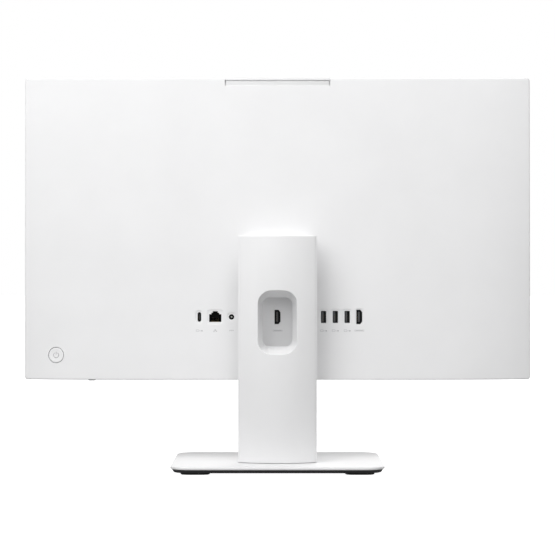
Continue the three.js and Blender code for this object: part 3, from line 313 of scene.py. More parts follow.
class Wiring:
    """Short calls that add and join the nodes of one tree."""

    def __init__(self, tree):
        self.tree = tree

    def node(self, kind, **settings):
        made = self.tree.nodes.new(kind)
        for key, value in settings.items():
            setattr(made, key, value)
        return made

    def feed(self, socket, value):
        if isinstance(value, bpy.types.NodeSocket):
            self.tree.links.new(value, socket)
        else:
            socket.default_value = value

    def fill(self, sockets, **values):
        """Feeds sockets by name, with _ for each space in the name."""
        for label, value in values.items():
            self.feed(sockets[label.replace("_", " ")], value)

    def math(self, operation, first, second=0.0, clamp=False):
        made = self.node("ShaderNodeMath", operation=operation, use_clamp=clamp)
        self.feed(made.inputs[0], first)
        self.feed(made.inputs[1], second)
        return made.outputs[0]

    def add(self, first, second, clamp=False):
        return self.math("ADD", first, second, clamp)

    def times(self, first, second, clamp=False):
        return self.math("MULTIPLY", first, second, clamp)

    def mix(self, factor, first, second, blend="MIX"):
        made = self.node("ShaderNodeMix", data_type="RGBA", blend_type=blend)
        self.feed(made.inputs["Factor"], factor)
        self.feed(made.inputs[6], first)
        self.feed(made.inputs[7], second)
        return made.outputs[2]

    def range(self, value, low, high, to_low=0.0, to_high=1.0):
        made = self.node("ShaderNodeMapRange")
        for socket, part in zip(made.inputs, (value, low, high, to_low, to_high)):
            self.feed(socket, part)
        return made.outputs[0]

    def split(self, vector):
        made = self.node("ShaderNodeSeparateXYZ")
        self.feed(made.inputs[0], vector)
        return made.outputs

    def place(self, scale=(1, 1, 1), turn=(0, 0, 0)):
        """Coordinates in metres in the computer's own frame."""
        where = self.node("ShaderNodeTexCoord").outputs["Object"]
        mapping = self.node("ShaderNodeMapping")
        self.fill(mapping.inputs, Vector=where, Scale=scale, Rotation=turn)
        return mapping.outputs[0]

    def noise(self, scale, detail=2.0, rough=0.5, vector=None):
        made = self.node("ShaderNodeTexNoise")
        self.fill(made.inputs, Vector=vector or self.place(), Scale=scale, Detail=detail, Roughness=rough)
        return made.outputs["Fac"]

    def group(self, name, **values):
        """The outputs of a shared effect."""
        made = self.node("ShaderNodeGroup", node_tree=GROUPS[name])
        self.fill(made.inputs, **values)
        return made.outputs

    def bump(self, shader, height, strength, distance):
        made = self.node("ShaderNodeBump")
        self.fill(made.inputs, Strength=strength, Distance=distance, Height=height)
        self.feed(shader["Normal"], made.outputs[0])


def new_group(name, outputs, **inputs):
    """Starts a shared effect: the wiring of its tree, what comes in, and the sockets for its results."""
    tree = GROUPS[name] = bpy.data.node_groups.new(name, "ShaderNodeTree")
    for label, value in inputs.items():
        kind = "NodeSocketColor" if isinstance(value, tuple) else "NodeSocketFloat"
        socket = tree.interface.new_socket(label.replace("_", " "), in_out="INPUT", socket_type=kind)
        socket.default_value = value
    for label in outputs:
        kind = "NodeSocketColor" if label == "Color" else "NodeSocketFloat"
        tree.interface.new_socket(label, in_out="OUTPUT", socket_type=kind)
    return Wiring(tree), tree.nodes.new("NodeGroupInput").outputs, tree.nodes.new("NodeGroupOutput").inputs


def make_moulded_grain():
    """The pebbled skin that a spark-eroded mould leaves on plastic."""
    w, enter, leave = new_group("moulded_grain", ["Height", "Pits"], Cells_per_metre=2200.0)
    cells = w.node("ShaderNodeTexVoronoi", feature="SMOOTH_F1")
    w.fill(cells.inputs, Vector=w.place(), Scale=enter["Cells per metre"], Smoothness=0.6)
    finer = w.noise(w.times(enter["Cells per metre"], 2.3), 3.0, 0.6)
    both = w.add(w.times(cells.outputs["Distance"], 0.7), w.times(finer, 0.5))
    w.fill(leave, Height=both, Pits=w.range(both, 0.35, 0.75))


def make_soft_mottle():
    """The slow, faint drift of tone across any moulded or painted surface."""
    w, enter, leave = new_group(
        "soft_mottle", ["Color", "Drift"], Color=WHITE, Patches_per_metre=14.0, Amount=0.03
    )
    drift = w.range(w.noise(enter["Patches per metre"], 4.0, 0.55), 0.3, 0.7, -1.0, 1.0)
    darker = w.math("SUBTRACT", 1.0, w.times(w.range(drift, -1.0, 1.0), enter["Amount"]))
    tone = w.node("ShaderNodeCombineColor")
    for k in range(3):
        w.feed(tone.inputs[k], darker)
    w.fill(leave, Color=w.mix(1.0, enter["Color"], tone.outputs[0], "MULTIPLY"), Drift=drift)


def make_settled_dust():
    """Fine dust that lies on what faces up, and none on walls."""
    w, enter, leave = new_group(
        "settled_dust", ["Color", "Roughness"], Color=WHITE, Roughness=0.4, Amount=0.2
    )
    facing = w.split(w.node("ShaderNodeNewGeometry").outputs["Normal"])["Z"]
    upward = w.range(facing, 0.55, 0.98)
    specks = w.range(w.noise(900.0, 4.0, 0.7), 0.5, 0.72)
    film = w.range(w.noise(26.0, 3.0, 0.6), 0.35, 0.75, 0.15, 1.0)
    lying = w.times(upward, w.math("MAXIMUM", specks, w.times(film, 0.35)))
    mask = w.times(lying, enter["Amount"], True)
    w.fill(
        leave, Color=w.mix(mask, enter["Color"], (0.56, 0.54, 0.51, 1)),
        Roughness=w.add(enter["Roughness"], w.times(mask, 0.35), True),
    )


def make_edge_wear_and_highlight():
    """Edges made lighter and glossier from how sharply the surface turns: partly polish from hands and
    cloths, partly a painted highlight.
    """
    w, enter, leave = new_group(
        "edge_wear_and_highlight", ["Color", "Roughness"],
        Color=WHITE, Worn_color=WHITE, Roughness=0.4, Amount=0.5,
    )
    sharp = w.range(w.node("ShaderNodeNewGeometry").outputs["Pointiness"], 0.52, 0.62)
    broken = w.range(w.noise(180.0, 4.0, 0.65), 0.35, 0.65, 0.3, 1.0)
    # The lighter edge colour is partly a painted highlight along convex edges, partly polish wear.
    mask = w.times(w.times(sharp, broken), enter["Amount"], True)
    w.fill(
        leave, Color=w.mix(mask, enter["Color"], enter["Worn color"]),
        Roughness=w.math("SUBTRACT", enter["Roughness"], w.times(mask, 0.12), True),
    )


def make_brushed_lines():
    """Long fine lines of brushed or rolled metal, along X."""
    w, enter, leave = new_group("brushed_lines", ["Height", "Tone"], Lines_per_metre=2600.0)
    streak = w.noise(enter["Lines per metre"], 3.0, 0.6, w.place((0.02, 1, 1)))
    w.fill(leave, Height=streak, Tone=w.range(streak, 0.3, 0.7))


def make_wiping_marks():
    """Faint hairline marks in all directions, as a cloth leaves on paint or glass."""
    w, enter, leave = new_group("wiping_marks", ["Mask"], Marks_per_metre=90.0, Amount=1.0)
    total = 0.0
    for turn in (0.35, 1.5, 2.5):
        across = w.place((0.06, 0.06, 1.6), (0.2, turn, 0.3))
        total = w.add(total, w.range(w.noise(enter["Marks per metre"], 5.0, 0.7, across), 0.58, 0.66))
    w.fill(leave, Mask=w.times(w.math("MINIMUM", total, 1.0), enter["Amount"]))


make_moulded_grain()
make_soft_mottle()
make_settled_dust()
make_edge_wear_and_highlight()
make_brushed_lines()
make_wiping_marks()


# ---------- Finishes ----------
def principled(name, **constants):
    """A material, the wiring of its tree and the sockets of its Principled shader."""
    material = bpy.data.materials.new(name)
    material.use_nodes = True
    w = Wiring(material.node_tree)
    shader = material.node_tree.nodes["Principled BSDF"].inputs
    w.fill(shader, **constants)
    return material, w, shader


def moulded_plastic(name, color, roughness, cells, strength, dust=0.2, edges=0.4, worn_and_highlight=None, specular=0.5):
    """Injection-moulded plastic: grain, slow drift of tone, polished edges with a painted highlight, and a
    little dust.
    """
    material, w, shader = principled(name, Specular_IOR_Level=specular)
    grain = w.group("moulded_grain", Cells_per_metre=cells)
    mottle = w.group("soft_mottle", Color=(*color, 1), Patches_per_metre=12.0, Amount=0.035)
    rough = w.add(roughness, w.times(w.math("SUBTRACT", grain["Pits"], 0.5), 0.08))
    rough = w.add(rough, w.times(mottle["Drift"], 0.02))
    worn_and_highlight = worn_and_highlight or [min(1.0, c * 1.06) for c in color]
    # Convex edges turn lighter: partly polish, partly a painted highlight.
    edge = w.group(
        "edge_wear_and_highlight", Color=mottle["Color"], Worn_color=(*worn_and_highlight, 1), Roughness=rough, Amount=edges
    )
    top = w.group("settled_dust", Color=edge["Color"], Roughness=edge["Roughness"], Amount=dust)
    w.fill(shader, Base_Color=top["Color"], Roughness=top["Roughness"])
    w.bump(shader, grain["Height"], strength, 0.05 * mm)
    return material


def painted_steel(name, color):
    """Satin paint on steel: orange peel, fine wiping marks and dust."""
    material, w, shader = principled(name, Specular_IOR_Level=0.07, Coat_Roughness=0.3, Coat_IOR=1.45)
    mottle = w.group("soft_mottle", Color=(*color, 1), Patches_per_metre=9.0, Amount=0.03)
    marks = w.group("wiping_marks", Marks_per_metre=110.0, Amount=0.5)["Mask"]
    rough = w.add(0.5, w.times(marks, 0.1))
    # Convex edges turn lighter: partly rubbed paint, partly a painted highlight.
    edge = w.group(
        "edge_wear_and_highlight", Color=mottle["Color"], Worn_color=(0.93, 0.93, 0.93, 1), Roughness=rough, Amount=0.4
    )
    top = w.group("settled_dust", Color=edge["Color"], Roughness=edge["Roughness"], Amount=0.22)
    w.fill(
        shader, Base_Color=top["Color"], Roughness=top["Roughness"],
        Coat_Weight=w.range(marks, 0.0, 1.0, 0.02, 0.01),
    )
    w.bump(shader, w.noise(420.0, 2.0, 0.4), 0.06, 0.1 * mm)
    return material


def bare_metal(name, color, roughness, lines=2600.0, strength=0.1):
    """Plated, rolled or turned metal with fine lines along it."""
    material, w, shader = principled(name, Metallic=1.0, Anisotropic=0.35)
    brushed = w.group("brushed_lines", Lines_per_metre=lines)
    bright, dull = (*color, 1), (*(0.72 * c for c in color), 1)
    tone = w.mix(w.times(brushed["Tone"], 0.35), bright, dull)
    # Convex edges take the bright tone: partly polish, partly a painted highlight.
    edge = w.group("edge_wear_and_highlight", Color=tone, Worn_color=bright, Roughness=roughness, Amount=0.6)
    rough = w.add(edge["Roughness"], w.times(brushed["Tone"], 0.12))
    w.fill(shader, Base_Color=edge["Color"], Roughness=rough)
    w.bump(shader, brushed["Height"], strength, 0.03 * mm)
    return material


def soft_rubber(name):
    material, w, shader = principled(name, Specular_IOR_Level=0.3, Sheen_Weight=0.15, Sheen_Roughness=0.6)
    grain = w.group("moulded_grain", Cells_per_metre=1500.0)
    # Convex edges turn lighter: partly rubbed rubber, partly a painted highlight.
    edge = w.group(
        "edge_wear_and_highlight", Color=(0.022, 0.022, 0.023, 1), Worn_color=(0.06, 0.06, 0.06, 1),
        Roughness=0.8, Amount=0.7,
    )
    w.fill(shader, Base_Color=edge["Color"], Roughness=edge["Roughness"])
    w.bump(shader, grain["Height"], 0.25, 0.08 * mm)
    return material


def display_glass(name):
    """The bonded panel: a matt active area inside a black printed border."""
    material, w, shader = principled(name, IOR=1.5, Coat_Roughness=0.12, Coat_IOR=1.5)
    low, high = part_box("lcd_glass")
    border = 6.5 * mm
    at = w.split(w.place())
    up = w.math("SUBTRACT", at["Z"], (low.z + high.z) / 2)
    inside_x = w.math("LESS_THAN", w.math("ABSOLUTE", at["X"]), high.x - border)
    inside_z = w.math("LESS_THAN", w.math("ABSOLUTE", up), (high.z - low.z) / 2 - border)
    active = w.times(inside_x, inside_z)
    marks = w.group("wiping_marks", Marks_per_metre=45.0, Amount=0.6)["Mask"]
    smudge = w.range(w.noise(9.0, 3.0, 0.6), 0.45, 0.7, 0.0, 0.08)
    w.fill(
        shader, Base_Color=w.mix(active, (0.004, 0.004, 0.005, 1), (0.013, 0.014, 0.017, 1)),
        Roughness=w.add(w.add(0.2, smudge), w.times(marks, 0.05)),
        Coat_Weight=w.range(active, 0.0, 1.0, 0.5, 0.25),
    )
    haze = w.group("moulded_grain", Cells_per_metre=5200.0)
    w.bump(shader, w.times(haze["Height"], active), 0.05, 0.02 * mm)
    return material


def clear_lens(name):
    material, w, shader = principled(name, IOR=1.52, Coat_Roughness=0.03)
    # The base colour turns purple at glancing angles: a painted reflection of the lens coating.
    facing = w.node("ShaderNodeLayerWeight")
    facing.inputs["Blend"].default_value = 0.35
    w.fill(
        shader, Base_Color=w.mix(facing.outputs["Facing"], (0.006, 0.006, 0.01, 1), (0.03, 0.012, 0.05, 1)),
        Roughness=w.range(w.noise(400.0), 0.3, 0.7, 0.03, 0.08),
        Coat_Weight=w.range(w.noise(90.0), 0.3, 0.7, 0.7, 0.9),
    )
    return material


def circuit_board(name):
    """Green solder resist over copper tracks."""
    material, w, shader = principled(name, Specular_IOR_Level=0.55)
    tracks = w.node("ShaderNodeTexBrick")
    w.fill(
        tracks.inputs, Vector=w.place((1, 1, 1), (math.pi / 2, 0, 0)), Scale=160.0, Mortar_Size=0.035,
        Color1=(0.012, 0.085, 0.042, 1), Color2=(0.015, 0.1, 0.05, 1), Mortar=(0.03, 0.17, 0.085, 1),
    )
    dust = w.group("settled_dust", Color=tracks.outputs["Color"], Roughness=0.38, Amount=0.3)
    w.fill(shader, Base_Color=dust["Color"], Roughness=dust["Roughness"])
    w.bump(shader, tracks.outputs["Fac"], 0.2, 0.05 * mm)
    return material


def printed_ink(name, color):
    material, w, shader = principled(name)
    mottle = w.group("soft_mottle", Color=(*color, 1), Patches_per_metre=900.0, Amount=0.12)
    rough = w.range(mottle["Drift"], -1.0, 1.0, 0.45, 0.6)
    w.fill(shader, Base_Color=mottle["Color"], Roughness=rough)
    return material


# Plastics: colour, roughness, grain cells per metre, grain strength, dust, wear and painted highlight of
# edges, worn and highlighted edge colour, specular level. Metals: colour, roughness, lines per metre,
# strength of the lines.
FINISH = {
    "white": moulded_plastic("white_cover_plastic", (0.86, 0.86, 0.865), 0.5, 2300.0, 0.16),
    "white_key": moulded_plastic("white_key_plastic", (0.87, 0.87, 0.875), 0.42, 3400.0, 0.08),
    "paint": painted_steel("white_base_paint", (0.82, 0.82, 0.825)),
    "black": moulded_plastic(
        "black_cover_plastic", (0.018, 0.018, 0.019), 0.55, 1800.0, 0.3, 0.25, 0.6, (0.06, 0.06, 0.06)),
    "socket": moulded_plastic(
        "black_socket_plastic", (0.006, 0.006, 0.007), 0.6, 4200.0, 0.12, 0.1, 0.5, (0.02, 0.02, 0.02), 0.2),
    "tongue": moulded_plastic(
        "socket_tongue_plastic", (0.09, 0.09, 0.095), 0.45, 4200.0, 0.1, 0.1, 0.5, (0.14, 0.14, 0.14)),
    # Dark finish for the inside of the white cover: painted shade in the hollow seen through vents and holes.
    "grey": moulded_plastic(
        "inner_painted_shade_plastic", (0.09, 0.09, 0.095), 0.55, 1800.0, 0.25, 0.3, 0.5, (0.16, 0.16, 0.16)),
    "rubber": soft_rubber("foot_rubber"),
    "steel": bare_metal("zinc_plated_steel", (0.56, 0.57, 0.58), 0.34),
    "shell": bare_metal("blackened_socket_shell", (0.045, 0.045, 0.048), 0.42, 5200.0, 0.06),
    "nickel": bare_metal("nickel_plate", (0.7, 0.69, 0.67), 0.26, 5200.0, 0.06),
    "gold": bare_metal("gold_contact", (0.9, 0.66, 0.3), 0.24, 6000.0, 0.05),
    "aluminium": bare_metal("mill_aluminium", (0.78, 0.79, 0.8), 0.3),
    "copper": bare_metal("bare_copper", (0.82, 0.43, 0.28), 0.3),
    "glass": display_glass("display_glass"),
    "lens": clear_lens("coated_lens"),
    "acrylic": moulded_plastic("clear_acrylic_sheet", (0.82, 0.85, 0.86), 0.15, 600.0, 0.02, 0.05, 0.1),
    "board": circuit_board("green_circuit_board"),
    "chip": moulded_plastic(
        "chip_package", (0.03, 0.031, 0.034), 0.4, 5000.0, 0.08, 0.2, 0.5, (0.08, 0.08, 0.085)),
    "ink": printed_ink("grey_symbol_ink", (0.5, 0.5, 0.51)),
}


# ---------- Back cover ----------
def rear_y(x, z):
    """Where the back of the display lies: thicker towards the bottom, crowned from side to side."""
    up = (z - DISPLAY_LOW) / DISPLAY_HEIGHT
    edge = EDGE_DEPTH[0] + (EDGE_DEPTH[1] - EDGE_DEPTH[0]) * up
    crown = CROWN[0] + (CROWN[1] - CROWN[0]) * up
    return DISPLAY_FRONT + edge + crown * (1 - min(1.0, abs(x / HALF_WIDTH)) ** CROWN_POWER)


def quarter_turn(axis):
    return Matrix.Rotation(math.pi / 2, 4, axis)


def rear_matrix(x, z):
    """A frame on the back at x, z: its own Y points outwards and its Z runs up the surface."""
    step = 0.5 * mm
    slope_x = (rear_y(x + step, z) - rear_y(x - step, z)) / (2 * step)
    slope_z = (rear_y(x, z + step) - rear_y(x, z - step)) / (2 * step)
    normal = Vector((-slope_x, 1, -slope_z)).normalized()
    up = (Vector((0, 0, 1)) - normal * normal.z).normalized()
    across = normal.cross(up)
    turn = Matrix((across, normal, up)).transposed().to_4x4()
    return Matrix.Translation((x, rear_y(x, z), z)) @ turn


def spaced(low, high, count, squeeze):
    """Values from low to high, closer together near both ends."""
    values = []
    for i in range(count + 1):
        t = i / count
        bent = 0.5 - 0.5 * math.cos(math.pi * t)
        values.append(low + (high - low) * (t * (1 - squeeze) + bent * squeeze))
    return values


def cover_skin():
    """The closed outer body of the back cover, with a rolled rear edge."""
    columns = spaced(-HALF_WIDTH + CORNER, HALF_WIDTH - CORNER, 72, 0.8)
    rows = spaced(DISPLAY_LOW + CORNER, DISPLAY_TOP - CORNER, 24, 0.3)
    corner_steps = 6
    lip = COVER_LOW.y

    def rim(inset):
        """One turn round the outline, counter-clockwise from behind the lower left."""
        radius = CORNER - inset
        points = [(x, DISPLAY_LOW + inset) for x in columns[:-1]]
        left, right, low, high = columns[0], columns[-1], rows[0], rows[-1]
        corners = ((right, low), (right, high), (left, high), (left, low))
        runs = (
            [(HALF_WIDTH - inset, z) for z in rows[:-1]],
            [(x, DISPLAY_TOP - inset) for x in reversed(columns[1:])],
            [(-HALF_WIDTH + inset, z) for z in reversed(rows[1:])],
            [],
        )
        for k, ((cx, cz), run) in enumerate(zip(corners, runs)):
            for i in range(corner_steps):
                angle = math.pi / 2 * (k - 1 + i / corner_steps)
                points.append((cx + radius * math.cos(angle), cz + radius * math.sin(angle)))
            points += run
        return points

    rings = [[(x, lip, z) for x, z in rim(0)]]
    for inset, drop in fillet(COVER_EDGE, 6):
        rings.append([(x, rear_y(x, z) - drop, z) for x, z in rim(inset)])
    count = len(rings[0])
    vertices = [p for ring in rings for p in ring]
    faces = [tuple(range(count))] + ring_faces(len(rings), count)
    # The crowned field inside the last ring.
    first = len(vertices)
    wide, tall = len(columns), len(rows)
    vertices += [(x, rear_y(x, z), z) for z in rows for x in columns]

    def field(i, j):
        return first + j * wide + i

    for j in range(tall - 1):
        for i in range(wide - 1):
            faces.append((field(i, j), field(i + 1, j), field(i + 1, j + 1), field(i, j + 1)))
    last = (len(rings) - 1) * count
    inner = [field(i, 0) for i in range(wide - 1)] + [field(wide - 1, 0)] * corner_steps
    inner += [field(wide - 1, j) for j in range(tall - 1)] + [field(wide - 1, tall - 1)] * corner_steps
    inner += [field(i, tall - 1) for i in range(wide - 1, 0, -1)] + [field(0, tall - 1)] * corner_steps
    inner += [field(0, j) for j in range(tall - 1, 0, -1)] + [field(0, 0)] * corner_steps
    for i in range(count):
        n = (i + 1) % count
        faces.append(tuple(dict.fromkeys([last + i, last + n, inner[n], inner[i]])))
    return mesh_object("back_cover", vertices, faces)


def cover_hollow():
    """The space inside the back cover."""
    low, high = DISPLAY_LOW + COVER_WALL, DISPLAY_TOP - COVER_WALL
    front = COVER_LOW.y - 1 * mm
    return loft("hollow", [
        [(x, front, low), (x, rear_y(x, low) - COVER_WALL, low),
         (x, rear_y(x, high) - COVER_WALL, high), (x, front, high)]
        for x in spaced(-HALF_WIDTH + COVER_WALL, HALF_WIDTH - COVER_WALL, 40, 0.8)
    ])


def on_surface(outline, levels, x0):
    """A cutter at the sockets' row whose levels, (height above the surface, grow) pairs, follow the cover."""
    return loft("tool", [
        [(x + x0, rear_y(x + x0, z + PORT_ROW) + height, z + PORT_ROW) for x, z in outline(grow)]
        for height, grow in levels
    ])


# Soft rim of a recess: (above the surface, outwards).
RIM = metres((3, 0.75), (0.35, 0.55), (0.06, 0.26), (-0.06, 0.12), (-0.24, 0), (-0.8, 0))

# Mouths and recesses of the sockets in millimetres: (width, height, corner radius), or a polygon.
MOUTH_POLYGONS = {
    "network": [(-6.2, -5.1), (6.2, -5.1), (6.2, 2.7), (3.9, 2.7), (3.9, 4.3), (2.4, 4.3),
                (2.4, 5.9), (-2.4, 5.9), (-2.4, 4.3), (-3.9, 4.3), (-3.9, 2.7), (-6.2, 2.7)],
    "video": [(3, -7.5), (3, 7.5), (-1.05, 7.5), (-3, 4.9), (-3, -4.9), (-1.05, -7.5)],
}
ROUND_MOUTHS = {"usb_a": (5.12, 12.3, 0.5), "usb_c": (3.4, 9.6, 1.69), "power": (5.3, 5.3, 2.64)}
RECESSES = {
    "usb_a": (9.7, 16.9, 2.7), "usb_c": (8.0, 14.2, 3.9), "power": (9.9, 9.9, 4.94),
    "video": (8.8, 17.8, 2.6), "network": (17.0, 15.6, 3.3),
}


def port_kind(node):
    return next(kind for kind in RECESSES if node.startswith(kind))


def mouth_outline(kind):
    """The mouth of a kind of socket as a function of how much it is grown."""
    if kind in MOUTH_POLYGONS:
        points = metres(*MOUTH_POLYGONS[kind])
        return lambda grow: grown_polygon(points, grow)
    size, = metres(ROUND_MOUTHS[kind])
    return lambda grow: grown(size, grow, 6)


def recess_outline(kind):
    size, = metres(RECESSES[kind])
    return lambda grow: grown(size, grow)


VENT_WIDTH, VENT_DEPTH, VENT_PITCH, VENT_FIRST, VENT_COUNT = 3.4 * mm, 6 * mm, 5.94 * mm, 71 * mm, 17
VENT = (VENT_WIDTH, VENT_DEPTH, VENT_WIDTH / 2)
VENT_Y_TOP = DISPLAY_FRONT + 12.6 * mm
VENT_Y_BOTTOM = DISPLAY_FRONT + 16 * mm


def vent_tools():
    """Cutters for the slots along the top and the bottom of the back cover."""
    tools = []
    for i in range(VENT_COUNT):
        for side in (-1, 1):
            x = side * (VENT_FIRST + i * VENT_PITCH)
            for y, z, inward in ((VENT_Y_TOP, DISPLAY_TOP, -1), (VENT_Y_BOTTOM, DISPLAY_LOW, 1)):
                levels = [(z - inward * mm, 0.9 * mm), (z + inward * 0.45 * mm, 0.0),
                          (z + inward * 2 * COVER_WALL, 0.0)]
                tools.append(plate("slot", lambda g, at=(x, y): grown(VENT, g, 4, at), sorted(levels), "z"))
    return tools


def build_back_cover():
    cover = combine(cover_skin(), [cover_hollow()])
    camera_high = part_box("camera_housing")[1]
    notch_half = camera_high.x + 0.3 * mm
    camera_head = 8.2 * mm
    collar_low, collar_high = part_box("hinge_collar")
    jack_at = Matrix.Translation((centre("headset_jack").x, centre("headset_jack").y, DISPLAY_LOW))
    jack_profile = metres((4.6, -1), (4.5, 0), (4.2, 0.3), (4.2, 4))
    button_profile = metres((9.4, 3), (8.9, 0.35), (8.68, 0), (8.5, -0.25), (8.5, -8))
    tools = [
        rounded_block(
            "notch", (-notch_half, COVER_LOW.y - 1 * mm, DISPLAY_TOP - camera_head - 0.08 * mm),
            (notch_half, camera_high.y + 5 * mm, DISPLAY_TOP + 5 * mm), 0.5 * mm,
        ),
        rounded_block(
            "hinge_hole", (collar_low.x - GAP, COVER_LOW.y + 1 * mm, collar_low.z - GAP),
            (collar_high.x + GAP, collar_high.y, collar_high.z + GAP), 1.5 * mm,
        ),
        turned("button_hole", button_profile, 64, BUTTON_MATRIX),
        turned("jack_hole", jack_profile, 48, jack_at @ quarter_turn("X")),
    ]
    windows = []
    for node in PORT_NODES:
        kind, x = port_kind(node), centre(node).x
        tools.append(on_surface(recess_outline(kind), RIM, x))
        wide = 0.12 * mm if kind == "video" else 0.22 * mm
        levels = [(-0.6 * mm, wide + 0.2 * mm), (-0.8 * mm, wide + 0.16 * mm),
                  (-1.05 * mm, wide), (-4 * mm, wide)]
        windows.append(on_surface(mouth_outline(kind), levels, x))
    combine(cover, tools + vent_tools())
    combine(cover, windows)
    dress(cover, "display", ["white", "grey"], "rear_cover", 28)

    def is_inner(c, n):
        between = DISPLAY_LOW + COVER_WALL < c.z < DISPLAY_TOP - COVER_WALL
        if not between or abs(c.x) > HALF_WIDTH - COVER_WALL:
            return False
        return c.y < rear_y(c.x, c.z) - 0.9 * COVER_WALL and n.y < 0.5

    # The inside faces of the white cover take the dark finish: painted shade in the hollow.
    paint_faces(cover, 1, is_inner)


BUTTON_X = HALF_WIDTH - 34.2 * mm
BUTTON_Z = DISPLAY_LOW + 26.1 * mm
BUTTON_MATRIX = rear_matrix(BUTTON_X, BUTTON_Z)


def arc_outline(radius, width, start, end, steps=28):
    """A stroke along an arc, as one polygon."""
    angles = [start + (end - start) * i / steps for i in range(steps + 1)]
    sides = ((radius + width / 2, angles), (radius - width / 2, angles[::-1]))
    return [(r * math.cos(a), r * math.sin(a)) for r, run in sides for a in run]


def build_power_button():
    radius = 7.95 * mm
    symbol_floor = -0.55 * mm
    profile = metres((0.3, -6.4), (2, -6.4), (2, -2.4)) + [(radius, -2.4 * mm)]
    profile += [(radius - inset, -drop) for inset, drop in fillet(0.45 * mm, 4)]
    profile += [(radius - 1.5 * mm, -0.05 * mm)] + metres((3.5, -0.22), (0.3, -0.28))
    key = turned("power_key", profile, 72)
    gap = math.radians(34)
    arc = arc_outline(2.8 * mm, 0.75 * mm, math.pi / 2 + gap, 2.5 * math.pi - gap)
    ring = plate("ring", lambda grow: arc, [(symbol_floor, 0), (1 * mm, 0)])
    bar = rounded_block("bar", *metres((-0.36, -0.55, 0.6), (0.36, 1, 3.6)), 0.3 * mm)
    combine(key, [ring, bar])
    key.data.transform(BUTTON_MATRIX)
    dress(key, "button", ["white_key", "ink"], "power_button")
    inverse = BUTTON_MATRIX.inverted()

    def in_symbol(c, n):
        local = inverse @ c
        return -0.7 * mm < local.y < -0.45 * mm and math.hypot(local.x, local.z) < 3.8 * mm

    paint_faces(key, 1, in_symbol)


# ---------- Column ----------
def crown_y(x):
    return CROWN_CENTRE + math.sqrt(max(0.0, CROWN_RADIUS**2 - x * x))


LEDGE = 1.6 * mm  # flat strip either side of the crowned panel
LEDGE_Y = crown_y(COLUMN_HALF) - 0.4 * mm


def ledge_outline(inset, front, corner=0.6 * mm, steps=4):
    """Plan of the rear shell's sides, which end in a flat ledge either side of the panel."""
    half, rear = COLUMN_HALF - inset, LEDGE_Y - inset
    corner = max(0.1 * mm, corner - inset)
    turn = [math.pi / 2 * i / steps for i in range(steps + 1)]
    points = [(half - corner + corner * math.cos(a), rear - corner + corner * math.sin(a)) for a in turn]
    points += [(-x, y) for x, y in reversed(points)]
    return points + [(-half, front), (half, front)]


def rear_shell_outline(inset, front, corner=1.8 * mm, steps=30, half=None):
    """Plan of the crowned panel: an arc, softly rounded into straight sides."""
    half = (half or COLUMN_HALF) - inset
    radius = CROWN_RADIUS - inset
    corner = max(0.2 * mm, corner - inset)
    # Centre of the corner round, inside both the side wall and the arc.
    cx = half - corner
    cy = CROWN_CENTRE + math.sqrt((radius - corner) ** 2 - cx * cx)
    touch = math.atan2(cy - CROWN_CENTRE, cx)
    side = [(cx + corner * math.cos(a), cy + corner * math.sin(a)) for a in [touch * i / 6 for i in range(7)]]
    points = list(side)
    for i in range(1, steps):
        a = touch + (math.pi - 2 * touch) * i / steps
        points.append((radius * math.cos(a), CROWN_CENTRE + radius * math.sin(a)))
    return points + [(-x, y) for x, y in reversed(side)] + [(-half, front), (half, front)]


FUNNEL_MOUTH, FUNNEL_END = metres((40.4, 65.9, 14), (31, 51.3, 7))  # (width, height, corner radius)
FUNNEL_Z = PORT_ROW - 4.7 * mm
FUNNEL_WALL = 1.8 * mm
FUNNEL_DEPTH = COLUMN_HIGH.y - SHELL_LOW.y - COLUMN_WALL


def funnel_ring(y, grow):
    along = (COLUMN_HIGH.y - y) / FUNNEL_DEPTH
    size = [a + (b - a) * along for a, b in zip(FUNNEL_MOUTH, FUNNEL_END)]
    return [(x, y, z) for x, z in grown(size, grow, 14, (0, FUNNEL_Z))]


def mouth_ring(above, grow):
    """A ring of the funnel that follows the crowned face of the column."""
    return [(x, crown_y(x) + above, z) for x, z in grown(FUNNEL_MOUTH, grow, 14, (0, FUNNEL_Z))]


def build_column_rear():
    bottom, top = COLUMN_LOW.z, COLUMN_HIGH.z
    front = COLUMN_SEAM + GAP
    shell = loft("column_rear_shell", [
        [(x, y, z) for x, y in ledge_outline(inset, front)]
        for inset, z in rounded_ends(bottom, top, (0.5 * mm, 3), (0.4 * mm, 4))
    ])
    panel_half = COLUMN_HALF - LEDGE
    panel = loft("panel", [
        [(x, y, z) for x, y in rear_shell_outline(inset, LEDGE_Y - 4 * mm, 1.2 * mm, half=panel_half)]
        for inset, z in rounded_ends(bottom + 0.2 * mm, top - 0.9 * mm, (0.6 * mm, 3), (0.5 * mm, 4))
    ])
    combine(shell, [panel], "UNION")
    hollow = loft("hollow", [
        [(x, y, z) for x, y in rear_shell_outline(COLUMN_WALL, front - 1 * mm)]
        for z in (bottom - 1 * mm, top - COLUMN_WALL)
    ])
    end = SHELL_LOW.y + COLUMN_WALL + GAP
    sleeve = [funnel_ring(y, FUNNEL_WALL) for y in (COLUMN_HIGH.y + 1 * mm, end)]
    combine(hollow, [loft("sleeve_hole", sleeve)])
    combine(shell, [hollow])
    # The stretch of the sleeve that stands forward of the shell's own seam.
    stub = loft("stub", [funnel_ring(front + 3 * mm, FUNNEL_WALL), funnel_ring(end, FUNNEL_WALL)])
    combine(shell, [stub], "UNION")
    flare = metres((4, 1.6), (0.4, 1), (0.04, 0.62), (-0.16, 0.36), (-0.5, 0.16), (-1, 0.04), (-1.6, 0))
    bore = [mouth_ring(above, grow) for above, grow in flare]
    bore += [funnel_ring(y, 0.0) for y in (46 * mm, 38 * mm, 32 * mm, end - 1 * mm)]
    combine(shell, [loft("bore", bore)])
    dress(shell, "stand", ["white"], "column_rear_cover", 30)


